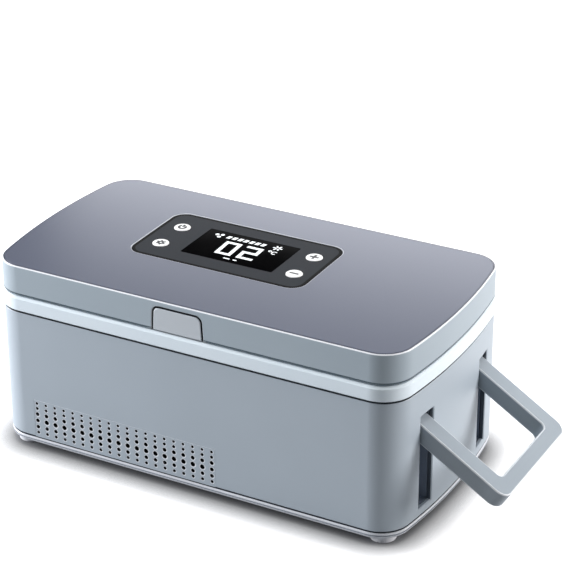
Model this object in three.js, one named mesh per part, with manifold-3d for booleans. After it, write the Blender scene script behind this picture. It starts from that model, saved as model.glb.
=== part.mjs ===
// Portable cooling case for insulin pens: a battery powered box with a chilled metal chamber,
// a hinged lid with a display and keys, and a swinging handle in one end.
// Millimetres, +Z up, front towards -Y, handle end towards +X.
import * as THREE from 'three';
import { mergeVertices } from 'three/addons/utils/BufferGeometryUtils.js';
import Module from 'manifold-3d';

// Case outline: straight long sides, bowed ends, round corners
const CASE_LENGTH = 240;
const CASE_DEPTH = 125.4;
const END_BOW = 5.8;
const CORNER_RADIUS = 16.6;

// Heights of the stacked pieces, from the floor up
const FOOT_HEIGHT = 4;
const BASE_HEIGHT = 4.2;
const BODY_HEIGHT = 72.35;
const BAND_HEIGHT = 9.45;
const LID_HEIGHT = 16.4;

// Walls and clearances
const WALL = 2.2;
const GAP = 0.3;
const PRESS_ROOM = 0.15;
const SHADOW_LINE = 0.8;
const LID_REVEAL = 0.8;
const SPIGOT_WALL = 1.6;
const SPIGOT_RISE = 1.2;
const SPIGOT_DROP = 4;

// Base plate, feet and screws
const BASE_FLOOR = 2.4;
const BASE_ROUND = 2.2;
const FOOT_RADIUS = 6.8;
const FOOT_ROUND = 0.8;
const FOOT_SEAT = 0.8;
const FOOT_FROM_END = 15.6;
const FOOT_FROM_SIDE = 11.2;
const SCREW_FROM_END = 36;
const SCREW_FROM_SIDE = 12.7;
const SCREW_RADIUS = 1.4;
const SCREW_LENGTH = 12;
const SCREW_HEAD_RADIUS = 2.8;
const SCREW_HEAD_HEIGHT = 1.1;
const BOSS_RADIUS = 4;
const BOSS_HEIGHT = 24;
const BOSS_RIB = 2;
const INTAKE_SLOT = 2.4;
const INTAKE_PITCH = 4.8;

// Vent: rows of holes that grow towards the fourth row, less so in the first and last column
const VENT_HOLES = [1.6, 1.8, 2.3, 2.7, 2.2, 1.8];
const VENT_END_HOLE = 2.3;
const VENT_WEB = 1.3;
const VENT_COLUMNS = 20;
const VENT_PITCH = 5.56;
const VENT_FROM_END = 27.9;
const VENT_FROM_BASE = 3.1;
const VENT_MARGIN = 1.9;
const VENT_SEAM = 0.2;

// Handle and the slots that it folds into
const HANDLE_WIDTH = 77.4;
const HANDLE_ARM = 10.5;
const HANDLE_BAR = 8.8;
const HANDLE_THICKNESS = 9.5;
const HANDLE_REACH = 56.9;
const HANDLE_OUTER_ROUND = 6.5;
const HANDLE_INNER_ROUND = 3;
const HANDLE_EDGE = 0.8;
const HANDLE_DROOP = 32;
const PIVOT_HEIGHT = 57.6;
const PIVOT_DEPTH = 5.6;
const SLOT_SIDE_ROOM = 0.75;
const SLOT_BACK_ROOM = 0.7;
const SLOT_BOTTOM = 12.5;
const SLOT_TOP = 65;
const SOCKET_WALL = 2;
const HANDLE_PIN_RADIUS = 2;

// Light band under the lid, with the deck round the chamber's mouth
const BAND_PROUD = 0.7;
const BAND_BEVEL = 1.3;
const DECK = 2.5;

// Chamber, its liner and its insulation
const FOAM_END = 8;
const FOAM_SIDE = 24;
const FOAM_FROM_WALL = 3;
const FOAM_CORNER = 12;
const CHAMBER_CORNER = 8;
const LINER = 1.2;
const FLANGE_WIDTH = 3;
const FLANGE = 0.8;

// Cooling stack under the chamber
const FAN_SIZE = 50;
const FAN_DEPTH = 10;
const FAN_STANDOFF = 1.6;
const FAN_POST_RADIUS = 2.4;
const FAN_WALL = 1.6;
const FAN_CORNER = 4;
const FAN_HUB_RADIUS = 11;
const FAN_SHAFT_RADIUS = 1.3;
const FAN_SPOKES = 3;
const FAN_BLADES = 7;
const FAN_BLADE_CHORD = 8.6;
const FAN_BLADE = 1;
const FAN_BLADE_PITCH = 35;
const FAN_TIP_ROOM = 1.2;
const SINK_LENGTH = 96;
const SINK_DEPTH = 86;
const SINK_PLATE = 3;
const SINK_FIN_HEIGHT = 9.6;
const SINK_FIN = 1.4;
const SINK_FINS = 14;
const SINK_FROM_END = 28;
const MODULE_SIZE = 40;
const MODULE_HEIGHT = 3.6;
const COLD_PLATE_HEIGHT = 8;
const PLATE_CORNER = 1.5;

// Batteries, main board and power inlet at the handle end
const CELLS = 4;
const CELL_RADIUS = 9.2;
const CELL_LENGTH = 65;
const CELL_BUTTON_RADIUS = 3;
const CELL_BUTTON = 0.8;
const CELL_ROOM = 0.4;
const TRAY_WALL = 1.6;
const TRAY_POST_RADIUS = 2.5;
const TRAY_END = 6;
const BOARD = 1.6;
const BOARD_ABOVE_CELLS = 1.2;
const CHIP_HEIGHT = 1.4;
const INLET_FROM_END = 45;
const INLET_FROM_BASE = 14;
const INLET_WIDTH = 10;
const INLET_DEPTH = 11;
const INLET_NOSE_RADIUS = 4.2;
const INLET_HOLE_RADIUS = 3.1;
const INLET_HOLE_DEPTH = 9;
const INLET_PIN_RADIUS = 1;

// Hinges
const HINGE_OFFSET = 70;
const KNUCKLE_RADIUS = 3.4;
const KNUCKLE_LENGTH = 16;
const KNUCKLE_END = 7;
const HINGE_PIN_RADIUS = 1.3;
const HINGE_WEB = 2.4;

// Lid
const LID_EDGE = 1;
const LID_FLOOR = 2.2;
const TOP_PLATE = 1.6;
const TOP_PLATE_INSET = 1.3;
const LINER_PLATE = 2.2;
const PLUG_DEPTH = 5.8;
const PLUG_ROOM = 2;
const PLUG_WALL = 1.6;
const GASKET_WIDTH = 3.6;
const GASKET_GROOVE = 1;
const GASKET_FROM_PLUG = 9;
const LID_POST_RADIUS = 3.6;
const LID_POST_FROM_END = 15.5;
const LID_POST_FROM_SIDE = 24;
const LID_SCREW_LENGTH = 7;
const LID_FOAM_FROM_END = 22;
const LID_FOAM_FROM_FRONT = 20;
const LID_FOAM_FROM_BACK = 8;

// Control panel with its display and keys
const PANEL_LENGTH = 101.1;
const PANEL_DEPTH = 54.4;
const PANEL_CORNER = 8;
const PANEL_OFFSET_X = -10.65;
const PANEL_OFFSET_Y = 7.6;
const PANEL = 1.5;
const PANEL_SINK = 0.1;
const WINDOW_LENGTH = 53.5;
const WINDOW_DEPTH = 32;
const WINDOW = 1.2;
const WINDOW_CORNER = 1.2;
const WINDOW_OFFSET_X = 1.85;
const WINDOW_OFFSET_Y = 0.7;
const DISPLAY_BORDER = 1.6;
const DISPLAY = 4.2;
const KEY_RADIUS = 4.4;
const KEY_ROOM = 0.25;
const KEY_PROUD = 0.2;
const KEY_TRAVEL = 0.6;
const KEY_SPACING_X = 78.8;
const KEY_SPACING_Y = 21.8;
const KEY_OFFSET_X = 0.3;
const KEY_OFFSET_Y = -0.4;
const KEY_FLANGE = 1;
const KEY_FLANGE_WIDTH = 1;
const KEY_STEM_RADIUS = 2.2;
const KEY_STEM = 0.9;
const SWITCH_SIZE = 6;
const SWITCH_HEIGHT = 1;
const KEY_BOARD = 1.2;
const KEY_BOARD_MARGIN = 4;
const KEY_POST_RADIUS = 2.4;

// Latch button, its hook and its spring
const LATCH_OFFSET_X = -4.8;
const LATCH_WIDTH = 27;
const LATCH_HEIGHT = 12.4;
const LATCH_FLARE = 0.5;
const LATCH_CORNER = 3;
const LATCH_FACE = 2.4;
const LATCH_GAP = 0.35;
const LATCH_TRAVEL = 2.5;
const LATCH_BLOCK_WIDTH = 20;
const LATCH_BLOCK_DEPTH = 5;
const LATCH_EAR = 1.4;
const LATCH_EAR_WIDTH = 2;
const HOOK_WIDTH = 14;
const HOOK = 1.8;
const HOOK_NOSE = 1.4;
const HOOK_BELOW_DECK = 0.4;
const STRIKE_ROOM = 0.7;
const SPRING_RADIUS = 2.6;
const SPRING_WIRE = 0.3;
const SPRING_TURNS = 3;
const SPRING_LENGTH = 6;
const SPRING_RIB = 2;
const SPRING_RIB_WIDTH = 12;
const RAIL = 1.6;

// Facets
const CORNER_STEPS = 5;
const END_STEPS = 4;
const SMALL_CORNER_STEPS = 3;
const EDGE_STEPS = 2;
const ROUND_SIDES = 12;
const SMALL_SIDES = 8;
const SMALL_RADIUS = 3;
const VENT_SIDES = 6;
const OVERSHOOT = 1;

// Levels
const baseTop = FOOT_HEIGHT + BASE_HEIGHT;
const baseFloorTop = FOOT_HEIGHT + BASE_FLOOR;
const bodyBottom = baseTop + GAP;
const bandBottom = baseTop + BODY_HEIGHT;
const bodyTop = bandBottom - SHADOW_LINE / 2;
const lidBottom = bandBottom + BAND_HEIGHT;
const bandTop = lidBottom - LID_REVEAL;
const deckBottom = bandTop - DECK;
const lidTop = lidBottom + LID_HEIGHT;
const topPlateBottom = lidTop - TOP_PLATE;
const lidFloorTop = topPlateBottom - GAP;
const lidFloorBottom = lidFloorTop - LID_FLOOR;

// Plan
const halfLength = CASE_LENGTH / 2;
const halfDepth = CASE_DEPTH / 2;
const endRadius = (halfDepth ** 2 + END_BOW ** 2) / (2 * END_BOW);
const spigotInset = WALL + GAP;
const innerInset = spigotInset + SPIGOT_WALL;

const wasm = await Module();
wasm.setup();

// Closed mesh to a solid for cutting and joining
function toSolid(geometry) {
  const bare = geometry.clone();
  bare.deleteAttribute('normal');
  bare.deleteAttribute('uv');
  const merged = mergeVertices(bare);
  return new wasm.Manifold(new wasm.Mesh({
    numProp: 3,
    vertProperties: new Float32Array(merged.attributes.position.array),
    triVerts: new Uint32Array(merged.index.array),
  }));
}

function fromSolid(solid) {
  const { vertProperties, triVerts } = solid.getMesh();
  const geometry = new THREE.BufferGeometry();
  geometry.setAttribute('position', new THREE.BufferAttribute(vertProperties, 3));
  geometry.setIndex(new THREE.BufferAttribute(triVerts, 1));
  return geometry;
}

function cut(geometry, ...tools) {
  return fromSolid(tools.reduce((solid, tool) => solid.subtract(toSolid(tool)), toSolid(geometry)));
}

function join(geometry, ...others) {
  return fromSolid(others.reduce((solid, other) => solid.add(toSolid(other)), toSolid(geometry)));
}

function common(geometry, other) {
  return fromSolid(toSolid(geometry).intersect(toSolid(other)));
}

// Solid between level rings of a convex outline, all with the same number of points
function loft(rings) {
  const count = rings[0].points.length;
  const top = (rings.length - 1) * count;
  const index = [];
  for (let ring = 0; ring < top; ring += count) {
    for (let i = 0; i < count; i += 1) {
      const next = (i + 1) % count;
      index.push(ring + i, ring + next, ring + count + next);
      index.push(ring + i, ring + count + next, ring + count + i);
    }
  }
  for (const [a, b, c] of THREE.ShapeUtils.triangulateShape(rings[0].points, [])) {
    index.push(c, b, a, top + a, top + b, top + c);
  }
  const positions = rings.flatMap(({ points, z }) => points.flatMap(({ x, y }) => [x, y, z]));
  const geometry = new THREE.BufferGeometry();
  geometry.setAttribute('position', new THREE.Float32BufferAttribute(positions, 3));
  geometry.setIndex(index);
  return geometry;
}

function slab(points, bottom, top) {
  return loft([{ points, z: bottom }, { points, z: top }]);
}

function arc(x, y, radius, from, to, steps) {
  return new THREE.EllipseCurve(x, y, radius, radius, from, to, to < from).getPoints(steps);
}

// The case's plan, drawn in by an inset from its outer wall
function caseOutline(inset) {
  const radius = endRadius - inset;
  const corner = CORNER_RADIUS - inset;
  const centre = halfLength - endRadius;
  const cornerY = halfDepth - CORNER_RADIUS;
  const cornerX = centre + Math.sqrt((endRadius - CORNER_RADIUS) ** 2 - cornerY ** 2);
  const sweep = Math.atan2(cornerY, cornerX - centre);
  const quarter = Math.PI / 2;
  const right = [
    ...arc(cornerX, -cornerY, corner, -quarter, -sweep, CORNER_STEPS).slice(0, -1),
    ...arc(centre, 0, radius, -sweep, sweep, END_STEPS).slice(0, -1),
    ...arc(cornerX, cornerY, corner, sweep, quarter, CORNER_STEPS),
  ];
  const left = right.map(({ x, y }) => new THREE.Vector2(-x, -y));
  return [...right, ...left];
}

function caseLoft(levels) {
  return loft(levels.map(([inset, z]) => ({ points: caseOutline(inset), z })));
}

function caseSlab(inset, bottom, top) {
  return caseLoft([[inset, bottom], [inset, top]]);
}

// How far the bowed end reaches in X at a distance from the middle
function endAt(y) {
  return halfLength - endRadius + Math.sqrt(endRadius ** 2 - y ** 2);
}

function roundedRect(length, depth, radius, x = 0, y = 0) {
  const dx = length / 2 - radius;
  const dy = depth / 2 - radius;
  const corners = [[dx, dy], [-dx, dy], [-dx, -dy], [dx, -dy]];
  return corners.flatMap(([cx, cy], i) => (
    arc(x + cx, y + cy, radius, i * Math.PI / 2, (i + 1) * Math.PI / 2, SMALL_CORNER_STEPS)
  ));
}

function box([x0, x1], [y0, y1], [z0, z1]) {
  return new THREE.BoxGeometry(x1 - x0, y1 - y0, z1 - z0)
    .translate((x0 + x1) / 2, (y0 + y1) / 2, (z0 + z1) / 2);
}

function about(centre, width) {
  return [centre - width / 2, centre + width / 2];
}

// Round bar along an axis; u and v place it on the two other axes, in X, Y, Z order
function rod(axis, radius, [from, to], u, v, sides = radius < SMALL_RADIUS ? SMALL_SIDES : ROUND_SIDES) {
  const bar = new THREE.CylinderGeometry(radius, radius, to - from, sides);
  const middle = (from + to) / 2;
  if (axis === 'x') {
    return bar.rotateZ(-Math.PI / 2).translate(middle, u, v);
  }
  if (axis === 'z') {
    return bar.rotateX(Math.PI / 2).translate(u, v, middle);
  }
  return bar.translate(u, middle, v);
}

function extrude(shape, depth) {
  return new THREE.ExtrudeGeometry(shape, {
    depth,
    bevelEnabled: false,
    curveSegments: SMALL_CORNER_STEPS,
  });
}

// Profile drawn in X and Z, run along Y
function alongY(shape, from, to) {
  return extrude(shape, to - from).rotateX(Math.PI / 2).translate(0, to, 0);
}

// Profile drawn in Y and Z, run along X
function alongX(shape, from, to) {
  const turn = new THREE.Matrix4().makeBasis(
    new THREE.Vector3(0, 1, 0),
    new THREE.Vector3(0, 0, 1),
    new THREE.Vector3(1, 0, 0),
  );
  return extrude(shape, to - from).applyMatrix4(turn).translate(from, 0, 0);
}

const shellGrey = new THREE.MeshStandardMaterial({ color: 0x98a3ac, roughness: 0.45, metalness: 0 });
const slate = new THREE.MeshStandardMaterial({ color: 0x7b8090, roughness: 0.4, metalness: 0.2 });
const bandBlue = new THREE.MeshStandardMaterial({ color: 0xd3e6f0, roughness: 0.4, metalness: 0 });
const baseGrey = new THREE.MeshStandardMaterial({ color: 0xb9bec9, roughness: 0.45, metalness: 0 });
const panelGrey = new THREE.MeshStandardMaterial({ color: 0x3e4143, roughness: 0.35, metalness: 0 });
const windowBlack = new THREE.MeshStandardMaterial({ color: 0x08090a, roughness: 0.08, metalness: 0 });
const keyWhite = new THREE.MeshStandardMaterial({ color: 0xf0f2f2, roughness: 0.4, metalness: 0 });
const socketGrey = new THREE.MeshStandardMaterial({ color: 0x3a424e, roughness: 0.6, metalness: 0 });
const rubber = new THREE.MeshStandardMaterial({ color: 0xc4c8ce, roughness: 0.8, metalness: 0 });
const sealGrey = new THREE.MeshStandardMaterial({ color: 0x5a6068, roughness: 0.8, metalness: 0 });
const steel = new THREE.MeshStandardMaterial({ color: 0xb8bcc2, roughness: 0.3, metalness: 1 });
const aluminium = new THREE.MeshStandardMaterial({ color: 0xd2d5d8, roughness: 0.35, metalness: 1 });
const foamWhite = new THREE.MeshStandardMaterial({ color: 0xf2f2ee, roughness: 0.9, metalness: 0 });
const ceramicWhite = new THREE.MeshStandardMaterial({ color: 0xf4f4f0, roughness: 0.5, metalness: 0 });
const fanBlack = new THREE.MeshStandardMaterial({ color: 0x1d1f22, roughness: 0.5, metalness: 0 });
const boardGreen = new THREE.MeshStandardMaterial({ color: 0x1f5c3a, roughness: 0.5, metalness: 0 });
const cellBlue = new THREE.MeshStandardMaterial({ color: 0x2f6ea8, roughness: 0.4, metalness: 0 });

const group = new THREE.Group();

function addPiece(name, geometry, material, parent = group) {
  const mesh = new THREE.Mesh(geometry, material);
  mesh.name = name;
  parent.add(mesh);
  return mesh;
}

// The four places that lie at one distance from the ends and one from the sides, front left first
function fourCorners(fromEnd, fromSide) {
  const x = halfLength - fromEnd;
  const y = halfDepth - fromSide;
  return [[-x, -y], [x, -y], [x, y], [-x, y]];
}

const feet = fourCorners(FOOT_FROM_END, FOOT_FROM_SIDE);
const baseScrews = fourCorners(SCREW_FROM_END, SCREW_FROM_SIDE);
const lidPosts = fourCorners(LID_POST_FROM_END, LID_POST_FROM_SIDE);

// Cooling stack: the fan stands on the base, the sink on the fan, the chamber on the stack
const sinkX = SINK_FROM_END - halfLength + SINK_LENGTH / 2;
const fanBottom = baseFloorTop + FAN_STANDOFF + GAP;
const fanTop = fanBottom + FAN_DEPTH;
const fanDuct = FAN_SIZE / 2 - FAN_WALL;
const sinkBottom = fanTop + GAP;
const sinkTop = sinkBottom + SINK_FIN_HEIGHT + SINK_PLATE;
const moduleBottom = sinkTop + GAP;
const coldBottom = moduleBottom + MODULE_HEIGHT + GAP;
const coldTop = coldBottom + COLD_PLATE_HEIGHT;
const linerBottom = coldTop + GAP;

// Handle slots
const slotY = (HANDLE_WIDTH - HANDLE_ARM) / 2;
const slotWidth = HANDLE_ARM + 2 * SLOT_SIDE_ROOM;
const pivotX = endAt(slotY) - PIVOT_DEPTH;
const slotBack = pivotX - HANDLE_THICKNESS / 2 - SLOT_BACK_ROOM;
const socketBack = slotBack - SOCKET_WALL;

// Chamber and insulation
const foamHalfLength = socketBack - GAP;
const foamHalfDepth = halfDepth - WALL - FOAM_FROM_WALL;
const linerHalfLength = foamHalfLength - FOAM_END - GAP;
const linerHalfDepth = foamHalfDepth - FOAM_SIDE - GAP;
const flangeBottom = bandTop - FLANGE - PRESS_ROOM;

// Latch places, shared by the band's strike, the lid's notch and the button
const latchFront = -halfDepth;
const latchBlockBack = latchFront + LATCH_FACE + LATCH_BLOCK_DEPTH;
const hookFront = latchBlockBack - HOOK;
const noseFront = hookFront - HOOK_NOSE;
const noseTop = deckBottom - HOOK_BELOW_DECK;
const hookBottom = noseTop - HOOK;

// The well that the hook drops into and is pushed back in, through the deck and into the foam
function hookWell(top) {
  return box(
    about(LATCH_OFFSET_X, HOOK_WIDTH + 2 * STRIKE_ROOM),
    [noseFront - STRIKE_ROOM, latchBlockBack + LATCH_TRAVEL + STRIKE_ROOM],
    [hookBottom - STRIKE_ROOM, top],
  );
}

// Base plate: a shallow tray with a rounded lower edge and a spigot into the body
function basePlate() {
  const edge = arc(BASE_ROUND, FOOT_HEIGHT + BASE_ROUND, BASE_ROUND, -Math.PI / 2, -Math.PI, EDGE_STEPS);
  const outer = caseLoft([...edge.map(({ x, y }) => [x, y]), [0, baseTop]]);
  const spigot = caseSlab(spigotInset, baseFloorTop, baseTop + SPIGOT_RISE);
  const cavity = caseSlab(innerInset, baseFloorTop, baseTop + SPIGOT_RISE + OVERSHOOT);
  const through = [FOOT_HEIGHT - OVERSHOOT, baseTop + OVERSHOOT];
  const fanHole = FAN_SIZE / 2 - FAN_CORNER;
  const postRun = [FOOT_HEIGHT + BASE_FLOOR / 2, fanBottom - GAP];
  const fanPosts = [[1, 1], [1, -1], [-1, -1], [-1, 1]].map(([i, j]) => (
    rod('z', FAN_POST_RADIUS, postRun, sinkX + i * fanHole, j * fanHole)
  ));
  const holes = baseScrews.map(([x, y]) => rod('z', SCREW_RADIUS + GAP, through, x, y));
  const headRoom = [FOOT_HEIGHT - OVERSHOOT, FOOT_HEIGHT + SCREW_HEAD_HEIGHT + GAP];
  const heads = baseScrews.map(([x, y]) => rod('z', SCREW_HEAD_RADIUS + GAP, headRoom, x, y));
  const footSeat = [FOOT_HEIGHT - OVERSHOOT, FOOT_HEIGHT + FOOT_SEAT];
  const seats = feet.map(([x, y]) => rod('z', FOOT_RADIUS + GAP, footSeat, x, y));
  const slots = [];
  const reach = fanDuct - INTAKE_SLOT;
  const count = Math.floor(reach / INTAKE_PITCH);
  for (let i = -count; i <= count; i += 1) {
    const half = Math.sqrt(reach ** 2 - (i * INTAKE_PITCH) ** 2);
    slots.push(box(about(sinkX + i * INTAKE_PITCH, INTAKE_SLOT), [-half, half], through));
  }
  const tray = cut(join(outer, spigot), cavity);
  return cut(join(tray, ...fanPosts), ...holes, ...heads, ...seats, ...slots);
}
addPiece('base_plate', basePlate(), baseGrey);

// Turned piece about Z, from a profile of radius and height pairs
function turned(profile, sides) {
  const points = profile.map(([radius, z]) => new THREE.Vector2(radius, z));
  return new THREE.LatheGeometry(points, sides).rotateX(Math.PI / 2);
}

// Round rubber foot, flat below, seated in the base plate
function foot() {
  const top = FOOT_HEIGHT + FOOT_SEAT - GAP;
  const edge = arc(FOOT_RADIUS - FOOT_ROUND, FOOT_ROUND, FOOT_ROUND, -Math.PI / 2, 0, EDGE_STEPS);
  const profile = [[0, 0], ...edge.map(({ x, y }) => [x, y]), [FOOT_RADIUS, top], [0, top]];
  return turned(profile, ROUND_SIDES);
}
feet.forEach(([x, y], i) => {
  addPiece(`foot_${i + 1}`, foot(), rubber).position.set(x, y, 0);
});

// Screw with its head down, measured from the underside of the head's seat
function screw(length) {
  const profile = [
    [0, -SCREW_HEAD_HEIGHT],
    [SCREW_HEAD_RADIUS, -SCREW_HEAD_HEIGHT],
    [SCREW_HEAD_RADIUS, 0],
    [SCREW_RADIUS, 0],
    [SCREW_RADIUS, length],
    [0, length],
  ];
  return turned(profile, SMALL_SIDES);
}
baseScrews.forEach(([x, y], i) => {
  const seat = FOOT_HEIGHT + SCREW_HEAD_HEIGHT;
  addPiece(`base_screw_${i + 1}`, screw(SCREW_LENGTH), steel).position.set(x, y, seat);
});

// Vent grille: the perforated insert that stands in a notch of the body's front wall
const ventLeft = VENT_FROM_END - halfLength;
const ventRight = ventLeft + (VENT_COLUMNS - 1) * VENT_PITCH;
const ventRows = [];
VENT_HOLES.reduceRight((below, hole, row) => {
  const step = row === VENT_HOLES.length - 1 ? VENT_FROM_BASE : (hole + VENT_HOLES[row + 1]) / 2 + VENT_WEB;
  ventRows[row] = below + step;
  return ventRows[row];
}, baseTop);
const ventTop = ventRows[0] + VENT_MARGIN;

function ventGrille() {
  const plate = box(
    [ventLeft - VENT_MARGIN, ventRight + VENT_MARGIN],
    [-halfDepth, WALL - halfDepth],
    [bodyBottom, ventTop],
  );
  const holes = [];
  const run = [-halfDepth - OVERSHOOT, WALL - halfDepth + OVERSHOOT];
  for (let column = 0; column < VENT_COLUMNS; column += 1) {
    const x = ventLeft + column * VENT_PITCH;
    const largest = column % (VENT_COLUMNS - 1) === 0 ? VENT_END_HOLE : Infinity;
    VENT_HOLES.forEach((hole, row) => {
      const radius = Math.min(hole, largest) / 2;
      holes.push(rod('y', radius, run, x, ventRows[row], VENT_SIDES));
    });
  }
  return cut(plate, ...holes);
}
addPiece('vent_grille', ventGrille(), shellGrey);

// Power inlet in the back wall
const inletX = halfLength - INLET_FROM_END;
const inletZ = baseTop + INLET_FROM_BASE;
const backWall = halfDepth - WALL;

// Body shell: the open tub, with a notch for the vent and windows for the handle slots
function bodyShell() {
  const outer = caseLoft([
    [SHADOW_LINE, bodyBottom],
    [0, bodyBottom + SHADOW_LINE],
    [0, bodyTop - SHADOW_LINE],
    [SHADOW_LINE, bodyTop],
  ]);
  const tub = cut(outer, caseSlab(WALL, bodyBottom - OVERSHOOT, bodyTop + OVERSHOOT));
  const bosses = baseScrews.map(([x, y]) => {
    const side = Math.sign(y);
    const wall = side * (halfDepth - WALL / 2);
    const top = baseTop + BOSS_HEIGHT;
    const ribBottom = baseTop + SPIGOT_RISE + GAP;
    const rib = box(about(x, BOSS_RIB), [Math.min(y, wall), Math.max(y, wall)], [ribBottom, top]);
    return join(rod('z', BOSS_RADIUS, [baseFloorTop + GAP, top], x, y), rib);
  });
  const bores = baseScrews.map(([x, y]) => (
    rod('z', SCREW_RADIUS + GAP, [baseFloorTop, baseTop + SCREW_LENGTH], x, y)
  ));
  const notch = box(
    [ventLeft - VENT_MARGIN - VENT_SEAM, ventRight + VENT_MARGIN + VENT_SEAM],
    [-halfDepth - OVERSHOOT, WALL - halfDepth + OVERSHOOT],
    [bodyBottom - OVERSHOOT, ventTop + VENT_SEAM],
  );
  const slots = [-slotY, slotY].map((y) => (
    box([socketBack, halfLength + OVERSHOOT], about(y, slotWidth), [SLOT_BOTTOM, SLOT_TOP])
  ));
  const inletRun = [backWall - OVERSHOOT, halfDepth + OVERSHOOT];
  const inlet = rod('y', INLET_NOSE_RADIUS + GAP, inletRun, inletX, inletZ);
  return cut(join(tub, ...bosses), ...bores, notch, ...slots, inlet);
}
addPiece('body_shell', bodyShell(), shellGrey);

// Handle socket: the deep box behind a slot, which carries the handle's pin in its cheeks
function handleSocket(y) {
  const block = box(
    [socketBack, halfLength],
    about(y, slotWidth + 2 * SOCKET_WALL),
    [SLOT_BOTTOM - SOCKET_WALL, SLOT_TOP + SOCKET_WALL],
  );
  const behindWall = caseSlab(spigotInset, 0, lidTop);
  const slot = box([slotBack, halfLength + OVERSHOOT], about(y, slotWidth), [SLOT_BOTTOM, SLOT_TOP]);
  const pinRun = about(y, slotWidth + 2 * SOCKET_WALL + OVERSHOOT);
  const bore = rod('y', HANDLE_PIN_RADIUS + GAP, pinRun, pivotX, PIVOT_HEIGHT);
  return cut(common(block, behindWall), slot, bore);
}
addPiece('handle_socket_front', handleSocket(-slotY), socketGrey);
addPiece('handle_socket_rear', handleSocket(slotY), socketGrey);

function handlePin(y) {
  return rod('y', HANDLE_PIN_RADIUS, about(y, slotWidth + 2 * (SOCKET_WALL - GAP)), pivotX, PIVOT_HEIGHT);
}
addPiece('handle_pin_front', handlePin(-slotY), steel);
addPiece('handle_pin_rear', handlePin(slotY), steel);

// Handle bail: two arms and a bar with softened edges, drawn level with its pivot at the origin
function handleBail() {
  const half = HANDLE_THICKNESS / 2;
  const rootLength = HANDLE_THICKNESS + HANDLE_OUTER_ROUND;
  const length = HANDLE_REACH + rootLength;
  const middle = (HANDLE_REACH - rootLength) / 2;
  const outline = (inset) => roundedRect(
    length - 2 * inset,
    HANDLE_WIDTH - 2 * inset,
    HANDLE_OUTER_ROUND - inset,
    middle,
  );
  const gapLength = length - HANDLE_BAR + rootLength;
  const gap = (grow) => roundedRect(
    gapLength + 2 * grow,
    HANDLE_WIDTH - 2 * HANDLE_ARM + 2 * grow,
    HANDLE_INNER_ROUND + grow,
    HANDLE_REACH - HANDLE_BAR - gapLength / 2,
  );
  const bar = loft([
    { points: outline(HANDLE_EDGE), z: -half },
    { points: outline(0), z: HANDLE_EDGE - half },
    { points: outline(0), z: half - HANDLE_EDGE },
    { points: outline(HANDLE_EDGE), z: half },
  ]);
  const opening = loft([
    { points: gap(2 * HANDLE_EDGE), z: -half - HANDLE_EDGE },
    { points: gap(0), z: HANDLE_EDGE - half },
    { points: gap(0), z: half - HANDLE_EDGE },
    { points: gap(2 * HANDLE_EDGE), z: half + HANDLE_EDGE },
  ]);
  const side = new THREE.Shape();
  side.moveTo(0, -half);
  side.lineTo(HANDLE_REACH + OVERSHOOT, -half);
  side.lineTo(HANDLE_REACH + OVERSHOOT, half);
  side.lineTo(0, half);
  side.absarc(0, 0, half, Math.PI / 2, 3 * Math.PI / 2);
  const reach = HANDLE_WIDTH / 2 + OVERSHOOT;
  const rounded = common(bar, alongY(side, -reach, reach));
  return cut(rounded, opening, rod('y', HANDLE_PIN_RADIUS + GAP, [-reach, reach], 0, 0));
}
const handle = new THREE.Group();
handle.position.set(pivotX, 0, PIVOT_HEIGHT);
handle.rotation.y = THREE.MathUtils.degToRad(HANDLE_DROOP);
group.add(handle);
addPiece('handle_bail', handleBail(), shellGrey, handle);

// Fan frame: a square duct with a motor plate on spokes at its upper side
function fanFrame() {
  const frame = slab(roundedRect(FAN_SIZE, FAN_SIZE, FAN_CORNER), 0, FAN_DEPTH);
  const duct = rod('z', fanDuct, [-OVERSHOOT, FAN_DEPTH + OVERSHOOT], 0, 0, 2 * ROUND_SIDES);
  const plate = rod('z', FAN_HUB_RADIUS, [FAN_DEPTH - FAN_WALL, FAN_DEPTH], 0, 0);
  const shaft = rod('z', FAN_SHAFT_RADIUS, [2 * FAN_WALL, FAN_DEPTH], 0, 0);
  const spokes = [];
  for (let i = 0; i < FAN_SPOKES; i += 1) {
    const spoke = box([0, fanDuct + FAN_WALL / 2], about(0, FAN_WALL), [FAN_DEPTH - FAN_WALL, FAN_DEPTH]);
    spokes.push(spoke.rotateZ(i * 2 * Math.PI / FAN_SPOKES));
  }
  return join(cut(frame, duct), plate, shaft, ...spokes);
}
addPiece('fan_frame', fanFrame(), fanBlack).position.set(sinkX, 0, fanBottom);

// Fan rotor: a hub on the shaft with pitched blades
function fanRotor() {
  const bottom = FAN_WALL / 2;
  const top = FAN_DEPTH - FAN_WALL - GAP;
  const hub = rod('z', FAN_HUB_RADIUS, [bottom, top], 0, 0);
  const bore = rod('z', FAN_SHAFT_RADIUS + GAP, [2 * FAN_WALL - GAP, top + OVERSHOOT], 0, 0);
  const blades = [];
  for (let i = 0; i < FAN_BLADES; i += 1) {
    const span = [FAN_HUB_RADIUS - FAN_WALL, fanDuct - FAN_TIP_ROOM];
    const blade = box(span, about(0, FAN_BLADE_CHORD), about(0, FAN_BLADE));
    blade.rotateX(THREE.MathUtils.degToRad(FAN_BLADE_PITCH));
    blade.translate(0, 0, (bottom + top) / 2);
    blades.push(blade.rotateZ(i * 2 * Math.PI / FAN_BLADES));
  }
  return cut(join(hub, ...blades), bore);
}
addPiece('fan_rotor', fanRotor(), fanBlack).position.set(sinkX, 0, fanBottom);

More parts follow.
